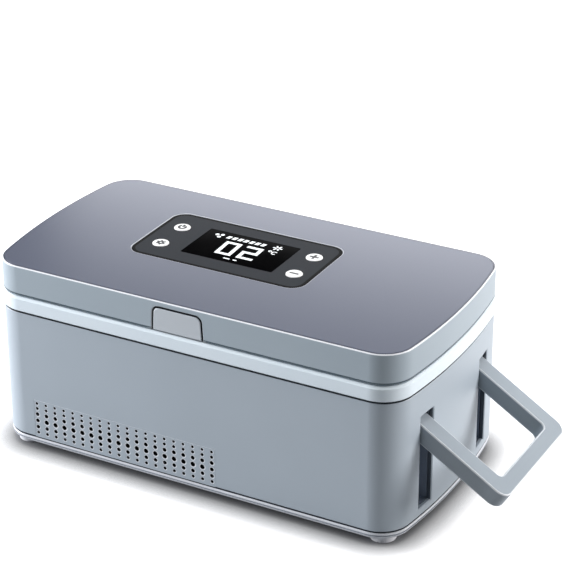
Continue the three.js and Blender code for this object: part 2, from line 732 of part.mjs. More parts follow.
// Heat sink: a plate with fins below it that run from the back to the front vent
function heatSink() {
  const pitch = (SINK_LENGTH - SINK_FIN) / (SINK_FINS - 1);
  const comb = new THREE.Shape();
  comb.moveTo(SINK_LENGTH / 2, sinkTop);
  comb.lineTo(-SINK_LENGTH / 2, sinkTop);
  for (let i = 0; i < SINK_FINS; i += 1) {
    const left = i * pitch - SINK_LENGTH / 2;
    comb.lineTo(left, i === 0 ? sinkBottom : sinkTop - SINK_PLATE);
    comb.lineTo(left, sinkBottom);
    comb.lineTo(left + SINK_FIN, sinkBottom);
    comb.lineTo(left + SINK_FIN, i === SINK_FINS - 1 ? sinkBottom : sinkTop - SINK_PLATE);
  }
  return alongY(comb, -SINK_DEPTH / 2, SINK_DEPTH / 2);
}
addPiece('heat_sink', heatSink(), aluminium).position.x = sinkX;

function square(bottom, top) {
  return slab(roundedRect(MODULE_SIZE, MODULE_SIZE, PLATE_CORNER, sinkX), bottom, top);
}
addPiece('peltier_module', square(moduleBottom, coldBottom - GAP), ceramicWhite);
addPiece('cold_plate', square(coldBottom, coldTop), aluminium);

// Chamber liner: a pressed metal tray whose flange hangs in the rim's deck
function linerOutline(inset) {
  const corner = CHAMBER_CORNER + LINER;
  return roundedRect(2 * (linerHalfLength - inset), 2 * (linerHalfDepth - inset), corner - inset);
}

function chamberLiner() {
  const flangeTop = flangeBottom + FLANGE;
  const tray = join(
    slab(linerOutline(0), linerBottom, flangeTop),
    slab(linerOutline(-FLANGE_WIDTH), flangeBottom, flangeTop),
  );
  return cut(tray, slab(linerOutline(LINER), linerBottom + LINER, flangeTop + OVERSHOOT));
}
addPiece('chamber_liner', chamberLiner(), aluminium);

// Foam block round the chamber, open below for the cold plate
function foamBlock() {
  const outline = roundedRect(2 * foamHalfLength, 2 * foamHalfDepth, FOAM_CORNER);
  const block = slab(outline, coldBottom, deckBottom - GAP);
  const chamber = slab(linerOutline(-GAP), coldTop, deckBottom + OVERSHOOT);
  const portSize = MODULE_SIZE + 2 * GAP;
  const portOutline = roundedRect(portSize, portSize, PLATE_CORNER, sinkX);
  const port = slab(portOutline, coldBottom - OVERSHOOT, coldTop + OVERSHOOT);
  return cut(block, chamber, port, hookWell(deckBottom));
}
addPiece('foam_block', foamBlock(), foamWhite);

// Battery tray: saddles for a row of cells laid front to back, with posts for the main board
const cellPitch = 2 * (CELL_RADIUS + CELL_ROOM);
const trayLength = CELLS * cellPitch + 2 * TRAY_WALL;
const trayX = socketBack - GAP - trayLength / 2;
const trayBottom = baseFloorTop + GAP;
const cellZ = trayBottom + TRAY_WALL + CELL_ROOM + CELL_RADIUS;
const cellStart = trayX - (CELLS - 1) * cellPitch / 2;
const cellRoomLength = CELL_LENGTH + 2 * CELL_ROOM;
const trayDepth = cellRoomLength + 2 * TRAY_END;
const boardBottom = cellZ + CELL_RADIUS + BOARD_ABOVE_CELLS;
const boardPosts = [-1, 1].flatMap((i) => [-1, 1].map((j) => [
  trayX + i * (trayLength / 2 - TRAY_END / 2),
  j * (trayDepth / 2 - TRAY_END / 2),
]));

function batteryTray() {
  const block = box(about(trayX, trayLength), about(0, trayDepth), [trayBottom, cellZ]);
  const saddles = [];
  for (let i = 0; i < CELLS; i += 1) {
    const x = cellStart + i * cellPitch;
    saddles.push(rod('y', CELL_RADIUS + CELL_ROOM, about(0, cellRoomLength), x, cellZ));
  }
  const postRun = [cellZ - OVERSHOOT, boardBottom - GAP];
  const posts = boardPosts.map(([x, y]) => rod('z', TRAY_POST_RADIUS, postRun, x, y));
  return join(cut(block, ...saddles), ...posts);
}
addPiece('battery_tray', batteryTray(), fanBlack);

function batteryCell() {
  const half = CELL_LENGTH / 2;
  const profile = [
    [0, -half],
    [CELL_RADIUS, -half],
    [CELL_RADIUS, half - CELL_BUTTON],
    [CELL_BUTTON_RADIUS, half - CELL_BUTTON],
    [CELL_BUTTON_RADIUS, half],
    [0, half],
  ];
  return turned(profile, ROUND_SIDES).rotateX(-Math.PI / 2);
}
for (let i = 0; i < CELLS; i += 1) {
  const cell = addPiece(`battery_cell_${i + 1}`, batteryCell(), cellBlue);
  cell.position.set(cellStart + i * cellPitch, 0, cellZ);
}

// Main board on the tray's posts, with its larger parts on top
function mainBoard() {
  const plate = box(about(trayX, trayLength), about(0, trayDepth), [boardBottom, boardBottom + BOARD]);
  const onTop = [boardBottom + BOARD / 2, boardBottom + BOARD + CHIP_HEIGHT];
  const chips = [-1, 0, 1].map((i) => (
    box(about(trayX + i * cellPitch, CELL_RADIUS), about(i * CELL_RADIUS, CELL_RADIUS), onTop)
  ));
  return join(plate, ...chips);
}
addPiece('main_board', mainBoard(), boardGreen);

// Power inlet: a socket with a centre pin, its nose in the back wall
function powerInlet() {
  const bodyBack = backWall - GAP;
  const bodyRun = [bodyBack - INLET_DEPTH, bodyBack];
  const body = box(about(inletX, INLET_WIDTH), bodyRun, about(inletZ, INLET_WIDTH));
  const nose = rod('y', INLET_NOSE_RADIUS, [bodyBack - OVERSHOOT, halfDepth], inletX, inletZ);
  const mouthEnd = halfDepth - INLET_HOLE_DEPTH;
  const mouth = rod('y', INLET_HOLE_RADIUS, [mouthEnd, halfDepth + OVERSHOOT], inletX, inletZ);
  const pinRun = [mouthEnd - OVERSHOOT, halfDepth - WALL];
  const pin = rod('y', INLET_PIN_RADIUS, pinRun, inletX, inletZ);
  return join(cut(join(body, nose), mouth), pin);
}
addPiece('power_inlet', powerInlet(), fanBlack);

// Hinges at the back: the band's knuckles outside, the lid's knuckle between them
const hingeY = halfDepth + BAND_PROUD + GAP + KNUCKLE_RADIUS;
const hingeZ = lidBottom;
const knuckleOuter = KNUCKLE_LENGTH / 2 + GAP + KNUCKLE_END;

// One knuckle with its web to the wall; the web lies above or below the hinge line
function knuckle(span, up) {
  const barrel = rod('x', KNUCKLE_RADIUS, span, hingeY, hingeZ);
  const webZ = [hingeZ + up * GAP, hingeZ + up * (KNUCKLE_RADIUS - GAP)].sort((a, b) => a - b);
  const web = box(span, [halfDepth - HINGE_WEB / 2, hingeY], webZ);
  const bore = rod('x', HINGE_PIN_RADIUS + GAP, [span[0] - OVERSHOOT, span[1] + OVERSHOOT], hingeY, hingeZ);
  return cut(join(barrel, web), bore);
}

function bandKnuckles() {
  return [-HINGE_OFFSET, HINGE_OFFSET].flatMap((x) => [
    knuckle([x - knuckleOuter, x - knuckleOuter + KNUCKLE_END], -1),
    knuckle([x + knuckleOuter - KNUCKLE_END, x + knuckleOuter], -1),
  ]);
}

function lidKnuckles() {
  return [-HINGE_OFFSET, HINGE_OFFSET].map((x) => knuckle(about(x, KNUCKLE_LENGTH), 1));
}

function hingePin(x) {
  return rod('x', HINGE_PIN_RADIUS, about(x, 2 * knuckleOuter), hingeY, hingeZ);
}
addPiece('hinge_pin_left', hingePin(-HINGE_OFFSET), steel);
addPiece('hinge_pin_right', hingePin(HINGE_OFFSET), steel);

// Rim band: the light ring, its deck round the chamber's mouth and a spigot into the body
function rimBand() {
  const bottom = bandBottom + SHADOW_LINE / 2;
  const outer = caseLoft([
    [0, bottom],
    [-BAND_PROUD, bottom + BAND_PROUD],
    [-BAND_PROUD, bandTop - BAND_BEVEL],
    [BAND_BEVEL - BAND_PROUD, bandTop],
  ]);
  const spigot = caseSlab(spigotInset, bandBottom - SPIGOT_DROP, bandTop - DECK / 2);
  const under = caseSlab(innerInset, bandBottom - SPIGOT_DROP - OVERSHOOT, deckBottom);
  const mouth = slab(linerOutline(-GAP), deckBottom - OVERSHOOT, bandTop + OVERSHOOT);
  const rebate = slab(linerOutline(-FLANGE_WIDTH - GAP), flangeBottom - GAP, bandTop + OVERSHOOT);
  const ring = join(outer, spigot, ...bandKnuckles());
  const bores = [-HINGE_OFFSET, HINGE_OFFSET].map((x) => (
    rod('x', HINGE_PIN_RADIUS + GAP, about(x, 2 * knuckleOuter + OVERSHOOT), hingeY, hingeZ)
  ));
  return cut(ring, under, mouth, rebate, hookWell(bandTop + OVERSHOOT), ...bores);
}
addPiece('rim_band', rimBand(), bandBlue);

// Lid: everything above the band turns together about the hinge
const lid = new THREE.Group();
group.add(lid);

const panelX = PANEL_OFFSET_X;
const panelY = PANEL_OFFSET_Y;
const panelTop = lidTop - PANEL_SINK;
const panelBottom = panelTop - PANEL;
const windowX = panelX + WINDOW_OFFSET_X;
const windowY = panelY + WINDOW_OFFSET_Y;
const windowBottom = panelTop - WINDOW;
const displayTop = windowBottom - GAP;
const keyBoardTop = displayTop - DISPLAY - GAP;
const keyX = panelX + KEY_OFFSET_X;
const keyY = panelY + KEY_OFFSET_Y;
const keyPlaces = {
  key_power: [keyX - KEY_SPACING_X / 2, keyY + KEY_SPACING_Y / 2],
  key_set: [keyX - KEY_SPACING_X / 2, keyY - KEY_SPACING_Y / 2],
  key_plus: [keyX + KEY_SPACING_X / 2, keyY + KEY_SPACING_Y / 2],
  key_minus: [keyX + KEY_SPACING_X / 2, keyY - KEY_SPACING_Y / 2],
};
const keyFlangeTop = panelBottom - GAP;
const keyFlangeRadius = KEY_RADIUS + KEY_FLANGE_WIDTH;
const keyStemBottom = keyFlangeTop - KEY_FLANGE - KEY_STEM;
const displayLength = WINDOW_LENGTH - 2 * DISPLAY_BORDER;
const displayDepth = WINDOW_DEPTH - 2 * DISPLAY_BORDER;
const keyBoardLength = KEY_SPACING_X + 2 * (keyFlangeRadius + KEY_BOARD_MARGIN);
const keyBoardDepth = PANEL_DEPTH - 2 * KEY_BOARD_MARGIN;
const keyPosts = [-1, 1].flatMap((i) => [-1, 1].map((j) => [
  keyX + i * (keyBoardLength / 2 - KEY_POST_RADIUS),
  panelY + j * (keyBoardDepth / 2 - KEY_POST_RADIUS),
]));

// Latch outline on the front, a little wider at the foot, with round upper corners
function latchShape(grow, bottom) {
  const top = lidBottom + LATCH_HEIGHT + grow;
  const half = LATCH_WIDTH / 2 + grow;
  const foot = half + LATCH_FLARE;
  const corner = LATCH_CORNER + grow;
  const shape = new THREE.Shape();
  shape.moveTo(LATCH_OFFSET_X - foot, bottom);
  shape.lineTo(LATCH_OFFSET_X + foot, bottom);
  shape.absarc(LATCH_OFFSET_X + half - corner, top - corner, corner, 0, Math.PI / 2);
  shape.absarc(LATCH_OFFSET_X - half + corner, top - corner, corner, Math.PI / 2, Math.PI);
  return shape;
}

// Lid shell: side wall with a soft upper edge, a floor under the top plate, posts and latch rails
const railInner = LATCH_WIDTH / 2 + LATCH_EAR_WIDTH + GAP;
const springStop = latchBlockBack + SPRING_LENGTH;
const linerPlateBottom = lidBottom + GAP;
const linerPlateTop = linerPlateBottom + LINER_PLATE;

function lidShell() {
  const rimTop = lidTop - PANEL_SINK;
  const edge = arc(LID_EDGE, rimTop - LID_EDGE, LID_EDGE, Math.PI, Math.PI / 2, EDGE_STEPS);
  const outer = caseLoft([
    [SHADOW_LINE, lidBottom],
    [0, lidBottom + SHADOW_LINE],
    ...edge.map(({ x, y }) => [x, y]),
  ]);
  const inside = caseSlab(WALL, lidBottom - OVERSHOOT, lidFloorBottom);
  const plateSeat = caseSlab(TOP_PLATE_INSET, lidFloorTop, lidTop + OVERSHOOT);
  const cap = cut(outer, inside, plateSeat);
  const rooted = lidFloorBottom + LID_FLOOR / 2;
  const posts = lidPosts.map(([x, y]) => rod('z', LID_POST_RADIUS, [linerPlateTop + GAP, rooted], x, y));
  const boardPosts = keyPosts.map(([x, y]) => rod('z', KEY_POST_RADIUS, [keyBoardTop + GAP, rooted], x, y));
  const rails = [-1, 1].map((side) => {
    const near = LATCH_OFFSET_X + side * railInner;
    const far = near + side * RAIL;
    const span = [Math.min(near, far), Math.max(near, far)];
    return box(span, [latchFront + WALL / 2, latchBlockBack], [linerPlateTop + GAP, rooted]);
  });
  const springRib = box(
    about(LATCH_OFFSET_X, SPRING_RIB_WIDTH),
    [springStop + GAP, springStop + GAP + SPRING_RIB],
    [linerPlateTop + GAP, rooted],
  );
  const solid = join(cap, ...posts, ...boardPosts, ...rails, springRib, ...lidKnuckles());
  const screwBores = lidPosts.map(([x, y]) => (
    rod('z', SCREW_RADIUS + GAP, [linerPlateTop, linerPlateTop + LID_SCREW_LENGTH], x, y)
  ));
  const floorRun = [lidFloorBottom - OVERSHOOT, lidTop];
  const keyHoles = Object.values(keyPlaces).map(([x, y]) => (
    rod('z', keyFlangeRadius + GAP, floorRun, x, y)
  ));
  const displayHole = slab(
    roundedRect(displayLength + 2 * GAP, displayDepth + 2 * GAP, WINDOW_CORNER, windowX, windowY),
    ...floorRun,
  );
  const notch = alongY(
    latchShape(LATCH_GAP, lidBottom - OVERSHOOT),
    latchFront - OVERSHOOT,
    latchFront + LATCH_FACE + LATCH_TRAVEL + GAP,
  );
  const pinBores = [-HINGE_OFFSET, HINGE_OFFSET].map((x) => (
    rod('x', HINGE_PIN_RADIUS + GAP, about(x, KNUCKLE_LENGTH + OVERSHOOT), hingeY, hingeZ)
  ));
  return cut(solid, ...screwBores, ...keyHoles, displayHole, notch, ...pinBores);
}
addPiece('lid_shell', lidShell(), shellGrey, lid);

function panelOutline(grow) {
  const corner = PANEL_CORNER + grow;
  return roundedRect(PANEL_LENGTH + 2 * grow, PANEL_DEPTH + 2 * grow, corner, panelX, panelY);
}

function windowOutline(grow) {
  const corner = WINDOW_CORNER + grow;
  return roundedRect(WINDOW_LENGTH + 2 * grow, WINDOW_DEPTH + 2 * grow, corner, windowX, windowY);
}

// Top plate with the window that the control panel drops into
function lidTopPlate() {
  const inset = TOP_PLATE_INSET + PRESS_ROOM;
  const plate = caseLoft([
    [inset, topPlateBottom],
    [inset, lidTop - PRESS_ROOM],
    [inset + PRESS_ROOM, lidTop],
  ]);
  return cut(plate, slab(panelOutline(PRESS_ROOM), topPlateBottom - OVERSHOOT, lidTop + OVERSHOOT));
}
addPiece('lid_top_plate', lidTopPlate(), slate, lid);

function controlPanel() {
  const plate = slab(panelOutline(0), panelBottom, panelTop);
  const run = [panelBottom - OVERSHOOT, panelTop + OVERSHOOT];
  const holes = Object.values(keyPlaces).map(([x, y]) => rod('z', KEY_RADIUS + KEY_ROOM, run, x, y));
  return cut(plate, slab(windowOutline(PRESS_ROOM), ...run), ...holes);
}
addPiece('control_panel', controlPanel(), panelGrey, lid);

addPiece('display_window', slab(windowOutline(0), windowBottom, panelTop), windowBlack, lid);

const displayOutline = roundedRect(displayLength, displayDepth, WINDOW_CORNER, windowX, windowY);
addPiece('display_module', slab(displayOutline, displayTop - DISPLAY, displayTop), fanBlack, lid);

// Key: a round cap with a flange that the panel holds down and a stem over its switch
function keyCap() {
  const top = lidTop + KEY_PROUD;
  const profile = [
    [0, keyStemBottom],
    [KEY_STEM_RADIUS, keyStemBottom],
    [KEY_STEM_RADIUS, keyFlangeTop - KEY_FLANGE],
    [keyFlangeRadius, keyFlangeTop - KEY_FLANGE],
    [keyFlangeRadius, keyFlangeTop],
    [KEY_RADIUS, keyFlangeTop],
    [KEY_RADIUS, top],
    [0, top],
  ];
  return turned(profile, ROUND_SIDES);
}
Object.entries(keyPlaces).forEach(([name, [x, y]]) => {
  addPiece(name, keyCap(), keyWhite, lid).position.set(x, y, 0);
});

// Key board: the small circuit board under the panel, with a switch below each key
function keyBoard() {
  const board = slab(
    roundedRect(keyBoardLength, keyBoardDepth, WINDOW_CORNER, keyX, panelY),
    keyBoardTop - KEY_BOARD,
    keyBoardTop,
  );
  const switchRun = [keyBoardTop - KEY_BOARD / 2, keyBoardTop + SWITCH_HEIGHT];
  const plungerRun = [keyBoardTop, keyStemBottom - KEY_TRAVEL - PRESS_ROOM];
  const switches = Object.values(keyPlaces).flatMap(([x, y]) => [
    box(about(x, SWITCH_SIZE), about(y, SWITCH_SIZE), switchRun),
    rod('z', KEY_STEM_RADIUS, plungerRun, x, y),
  ]);
  return join(board, ...switches);
}
addPiece('key_board', keyBoard(), boardGreen, lid);

// Foam in the lid, behind the latch and inside the posts
function lidFoam() {
  const front = LID_FOAM_FROM_FRONT - halfDepth;
  const back = halfDepth - LID_FOAM_FROM_BACK;
  const outline = roundedRect(
    CASE_LENGTH - 2 * LID_FOAM_FROM_END,
    back - front,
    CHAMBER_CORNER,
    0,
    (front + back) / 2,
  );
  return slab(outline, linerPlateTop + GAP, keyBoardTop - KEY_BOARD - GAP);
}
addPiece('lid_foam', lidFoam(), foamWhite, lid);

// Lid liner: the plate that closes the lid from below, with the plug for the chamber's mouth
function plugOutline(inset) {
  return linerOutline(LINER + PLUG_ROOM + inset);
}

function gasketRing(outerGrow, innerGrow, bottom, top) {
  const outer = slab(plugOutline(-GASKET_FROM_PLUG - GASKET_WIDTH - outerGrow), bottom, top);
  const inner = slab(plugOutline(-GASKET_FROM_PLUG + innerGrow), bottom - OVERSHOOT, top + OVERSHOOT);
  return cut(outer, inner);
}

const grooveTop = linerPlateBottom + GASKET_GROOVE;

function lidLiner() {
  const plate = caseSlab(spigotInset, linerPlateBottom, linerPlateTop);
  const plugBottom = linerPlateBottom - PLUG_DEPTH;
  const plug = slab(plugOutline(0), plugBottom, linerPlateTop - LINER_PLATE / 2);
  const hollow = slab(plugOutline(PLUG_WALL), plugBottom + PLUG_WALL, linerPlateTop + OVERSHOOT);
  const groove = gasketRing(PRESS_ROOM, PRESS_ROOM, linerPlateBottom - OVERSHOOT, grooveTop);
  const latchRoom = box(
    about(LATCH_OFFSET_X, LATCH_WIDTH + 2 * (LATCH_FLARE + LATCH_GAP)),
    [-halfDepth, latchBlockBack + LATCH_TRAVEL + STRIKE_ROOM],
    [linerPlateBottom - OVERSHOOT, linerPlateTop + OVERSHOOT],
  );
  const holes = lidPosts.map(([x, y]) => (
    rod('z', SCREW_RADIUS + GAP, [linerPlateBottom - OVERSHOOT, linerPlateTop + OVERSHOOT], x, y)
  ));
  const headRoom = [linerPlateBottom - OVERSHOOT, linerPlateBottom + SCREW_HEAD_HEIGHT + GAP];
  const heads = lidPosts.map(([x, y]) => rod('z', SCREW_HEAD_RADIUS + GAP, headRoom, x, y));
  return cut(join(plate, plug), hollow, groove, latchRoom, ...holes, ...heads);
}
addPiece('lid_liner', lidLiner(), ceramicWhite, lid);
addPiece('lid_gasket', gasketRing(0, 0, bandTop + GAP, grooveTop - PRESS_ROOM), sealGrey, lid);

lidPosts.forEach(([x, y], i) => {
  const seat = linerPlateBottom + SCREW_HEAD_HEIGHT;
  addPiece(`lid_screw_${i + 1}`, screw(LID_SCREW_LENGTH), steel, lid).position.set(x, y, seat);
});

// Latch button: face, guide block with ears behind the wall, and the hook that reaches the deck
function latchButton() {
  const faceBack = latchFront + LATCH_FACE;
  const face = alongY(latchShape(0, lidBottom), latchFront, faceBack);
  const blockZ = [linerPlateTop + GAP, lidBottom + LATCH_HEIGHT - LATCH_CORNER];
  const blockRun = [faceBack - OVERSHOOT, latchBlockBack];
  const block = box(about(LATCH_OFFSET_X, LATCH_BLOCK_WIDTH), blockRun, blockZ);
  const ears = box(
    about(LATCH_OFFSET_X, LATCH_WIDTH + 2 * LATCH_EAR_WIDTH),
    [faceBack + GAP, faceBack + GAP + LATCH_EAR],
    blockZ,
  );
  const hook = box(about(LATCH_OFFSET_X, HOOK_WIDTH), [hookFront, latchBlockBack], [hookBottom, blockZ[1]]);
  const side = new THREE.Shape();
  side.moveTo(hookFront + HOOK / 2, noseTop);
  side.lineTo(noseFront, noseTop);
  side.lineTo(hookFront, hookBottom);
  side.lineTo(hookFront + HOOK / 2, hookBottom);
  const nose = alongX(side, ...about(LATCH_OFFSET_X, HOOK_WIDTH));
  return join(face, block, ears, hook, nose);
}
addPiece('latch_button', latchButton(), shellGrey, lid);

// Latch spring: a coil between the button's block and the lid's rib
function latchSpring() {
  const start = latchBlockBack + GAP + SPRING_WIRE;
  const length = SPRING_LENGTH - GAP - 2 * SPRING_WIRE;
  const middle = (linerPlateTop + lidBottom + LATCH_HEIGHT) / 2;
  const points = [];
  const steps = SPRING_TURNS * SMALL_SIDES;
  for (let i = 0; i <= steps; i += 1) {
    const turn = 2 * Math.PI * i / SMALL_SIDES;
    points.push(new THREE.Vector3(
      LATCH_OFFSET_X + SPRING_RADIUS * Math.cos(turn),
      start + length * i / steps,
      middle + SPRING_RADIUS * Math.sin(turn),
    ));
  }
  const wire = new THREE.Shape();
  wire.absarc(0, 0, SPRING_WIRE, 0, 2 * Math.PI);
  return new THREE.ExtrudeGeometry(wire, {
    steps,
    extrudePath: new THREE.CatmullRomCurve3(points),
    curveSegments: SMALL_CORNER_STEPS,
  });
}
addPiece('latch_spring', latchSpring(), steel, lid);

// Origin under the middle of the whole object, on the floor
group.updateMatrixWorld(true);
const bounds = new THREE.Box3().setFromObject(group, true);
const middle = bounds.getCenter(new THREE.Vector3());
group.position.set(-middle.x, -middle.y, -bounds.min.z);
group.updateMatrixWorld(true);

export default group;
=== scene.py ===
import math

import bmesh
import bpy
from mathutils import Matrix, Vector


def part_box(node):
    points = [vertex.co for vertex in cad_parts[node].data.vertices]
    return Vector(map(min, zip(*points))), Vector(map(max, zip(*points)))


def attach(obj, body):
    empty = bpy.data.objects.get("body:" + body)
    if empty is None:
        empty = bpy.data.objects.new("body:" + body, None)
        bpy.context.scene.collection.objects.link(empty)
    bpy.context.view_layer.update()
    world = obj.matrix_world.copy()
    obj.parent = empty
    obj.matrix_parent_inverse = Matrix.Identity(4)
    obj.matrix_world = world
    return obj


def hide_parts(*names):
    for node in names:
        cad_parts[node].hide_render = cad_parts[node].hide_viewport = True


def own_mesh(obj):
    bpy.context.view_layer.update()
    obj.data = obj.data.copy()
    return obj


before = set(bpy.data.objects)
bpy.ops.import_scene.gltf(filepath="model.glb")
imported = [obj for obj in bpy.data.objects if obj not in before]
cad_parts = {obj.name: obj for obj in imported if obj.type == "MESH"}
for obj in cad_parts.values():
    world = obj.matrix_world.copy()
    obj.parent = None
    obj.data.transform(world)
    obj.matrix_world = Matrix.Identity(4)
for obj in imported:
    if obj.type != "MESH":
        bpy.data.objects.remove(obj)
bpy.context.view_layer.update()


# Base plate: the shallow tray that closes the case from below, moulded in pale grey ABS.
# Its lip shows as two beads round the foot of the case, and slots under the fan take in air.
# Sizes here and below are millimetres from the middle of the case, on the floor.
MM = 0.001
shell_low, shell_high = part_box("body_shell")
CENTRE = Vector(((shell_low.x + shell_high.x) / 2, (shell_low.y + shell_high.y) / 2, 0))
HALF_LENGTH = (shell_high.x - shell_low.x) / 2 / MM
HALF_DEPTH = (shell_high.y - shell_low.y) / 2 / MM
END_BOW = 5.8
END_RADIUS = (HALF_DEPTH**2 + END_BOW**2) / (2 * END_BOW)
CORNER_RADIUS = 16.6
CORNER_STEPS = 14
END_STEPS = 40
ROUND_STEPS = 5
SPIGOT_INSET = 2.5
SPIGOT_WALL = 1.6
OVER = 1.0  # how far a cutter or a mask reaches past what it is for


def corners(node):
    """A CAD node's lowest and highest corner in millimetres."""
    low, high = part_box(node)
    return (low - CENTRE) / MM, (high - CENTRE) / MM


def middle_and_half(node):
    """A CAD node's middle and half its size, in millimetres."""
    low, high = corners(node)
    return (low + high) / 2, (high - low) / 2


def row_place(x, y, z):
    """A place in the row frame, in metres."""
    return (CENTRE.x + x * MM, CENTRE.y + y * MM, z * MM)


def arc(x, y, radius, start, end, steps=ROUND_STEPS):
    """Points of a round stretch, with its angles in degrees."""
    turns = [math.radians(start + (end - start) * i / steps) for i in range(steps + 1)]
    return [(x + radius * math.cos(turn), y + radius * math.sin(turn)) for turn in turns]


def case_outline(inset):
    """The case's plan, with straight sides, bowed ends and round corners, drawn in by an inset."""
    middle = HALF_LENGTH - END_RADIUS
    corner_y = HALF_DEPTH - CORNER_RADIUS
    corner_x = middle + math.sqrt((END_RADIUS - CORNER_RADIUS) ** 2 - corner_y**2)
    sweep = math.degrees(math.atan2(corner_y, corner_x - middle))
    radius = CORNER_RADIUS - inset
    right = arc(corner_x, -corner_y, radius, -90, -sweep, CORNER_STEPS)[:-1]
    right += arc(middle, 0, END_RADIUS - inset, -sweep, sweep, END_STEPS)[:-1]
    right += arc(corner_x, corner_y, radius, sweep, 90, CORNER_STEPS)
    return right + [(-x, -y) for x, y in right]


def new_piece(name, points, faces):
    """An object at the origin, made of closed faces between points in millimetres."""
    mesh = bpy.data.meshes.new(name)
    mesh.from_pydata([row_place(*point) for point in points], [], faces)
    shape = bmesh.new()
    shape.from_mesh(mesh)
    bmesh.ops.recalc_face_normals(shape, faces=shape.faces)
    shape.to_mesh(mesh)
    shape.free()
    piece = bpy.data.objects.new(name, mesh)
    bpy.context.scene.collection.objects.link(piece)
    return piece


def skin(name, rings, closed=False):
    """Rings of equal length joined by quads; an open run of rings is capped at both ends."""
    count = len(rings[0])
    points = [point for ring in rings for point in ring]
    faces = []
    for ring in range(len(rings) if closed else len(rings) - 1):
        near = ring * count
        far = (ring + 1) % len(rings) * count
        for i in range(count):
            j = (i + 1) % count
            faces.append((near + i, near + j, far + j, far + i))
    if not closed:
        faces.append(range(count))
        faces.append(range(len(points) - count, len(points)))
    return new_piece(name, points, faces)


def level_skin(name, outline, profile, closed=False):
    """A skin over level rings of an outline, from a profile of inset and height pairs."""
    return skin(name, [[(x, y, z) for x, y in outline(inset)] for inset, z in profile], closed)


base_low, base_high = corners("base_plate")
LIP_ROUND = 2.2
SPIGOT_RISE = 1.2
BASE_FLOOR = 2.4
LIP_GROOVE = 0.5
UPPER_BEAD = 1.9
BEAD_ROUND = 0.9
LIP_SHADOW = 0.5
lip_top = base_high.z - SPIGOT_RISE
bead_top = lip_top - LIP_SHADOW
bead_bottom = lip_top - UPPER_BEAD
base_floor_top = base_low.z + BASE_FLOOR
base = level_skin(
    "base_tray",
    case_outline,
    [
        (LIP_ROUND + OVER, base_low.z),
        *arc(LIP_ROUND, base_low.z + LIP_ROUND, LIP_ROUND, 270, 190),
        (LIP_GROOVE, bead_bottom - LIP_GROOVE),
        (LIP_GROOVE, bead_bottom),
        *arc(BEAD_ROUND, bead_top - BEAD_ROUND, BEAD_ROUND, 200, 90),
        (SPIGOT_INSET, bead_top),
        (SPIGOT_INSET, base_high.z),
        (SPIGOT_INSET + SPIGOT_WALL, base_high.z),
        (SPIGOT_INSET + SPIGOT_WALL, base_floor_top),
        (SPIGOT_INSET + SPIGOT_WALL + OVER, base_floor_top),
    ],
)


def turned(name, profile, place=(0, 0, 0), axis="z", sides=48):
    """A round piece about an axis through a place, from a profile of radius and height pairs."""
    shift = "zxy".index(axis)
    rings = []
    for radius, height in profile:
        circle = [(u, v, height) for u, v in arc(0, 0, radius, 0, 360, sides)[:-1]]
        rings.append([Vector(place) + Vector(point[-shift:] + point[:-shift]) for point in circle])
    return skin(name, rings)


def settle(piece):
    """Turns a piece's modifiers into its plain mesh."""
    depsgraph = bpy.context.evaluated_depsgraph_get()
    plain = bpy.data.meshes.new_from_object(piece.evaluated_get(depsgraph))
    piece.modifiers.clear()
    piece.data = plain


def carve(piece, *tools, operation="DIFFERENCE"):
    """Cuts the tools out of a piece, or joins them to it, and removes them."""
    for tool in tools:
        change = piece.modifiers.new(tool.name, "BOOLEAN")
        change.object = tool
        change.operation = operation
    settle(piece)
    for tool in tools:
        bpy.data.objects.remove(tool)


SEAT_ROOM = 0.3
FOOT_SEAT = 0.8
FOOT_NODES = ("foot_1", "foot_2", "foot_3", "foot_4")
BASE_SCREW_NODES = ("base_screw_1", "base_screw_2", "base_screw_3", "base_screw_4")
seats = []
for nodes, depth in ((FOOT_NODES, FOOT_SEAT), (BASE_SCREW_NODES, BASE_FLOOR + OVER)):
    for node in nodes:
        middle, half = middle_and_half(node)
        radius = half.x + SEAT_ROOM
        seats.append(turned("seat", [(radius, -OVER), (radius, depth)], (middle.x, middle.y, base_low.z)))
carve(base, *seats)


def linear(colour):
    """An sRGB hex colour as linear red, green, blue and alpha."""
    shares = [int(colour[i:i + 2], 16) / 255 for i in (1, 3, 5)]
    return [c / 12.92 if c <= 0.04045 else ((c + 0.055) / 1.055) ** 2.4 for c in shares] + [1]


def add_node(tree, kind, inputs=None, **settings):
    """One node with its settings, its input values and the links into it."""
    node = tree.nodes.new(kind)
    for name, value in settings.items():
        setattr(node, name, value)
    for name, value in (inputs or {}).items():
        if isinstance(value, bpy.types.NodeSocket):
            tree.links.new(value, node.inputs[name])
        else:
            node.inputs[name].default_value = value
    return node


def blank_material(name):
    """A material that holds only an object coordinate; gives its tree and that coordinate too."""
    material = bpy.data.materials.new(name)
    material.use_nodes = True
    tree = material.node_tree
    tree.nodes.clear()
    place = add_node(tree, "ShaderNodeTexCoord").outputs["Object"]
    return material, tree, place


def per(size):
    """The texture scale that gives a pattern a size in millimetres."""
    return 1 / (size * MM)


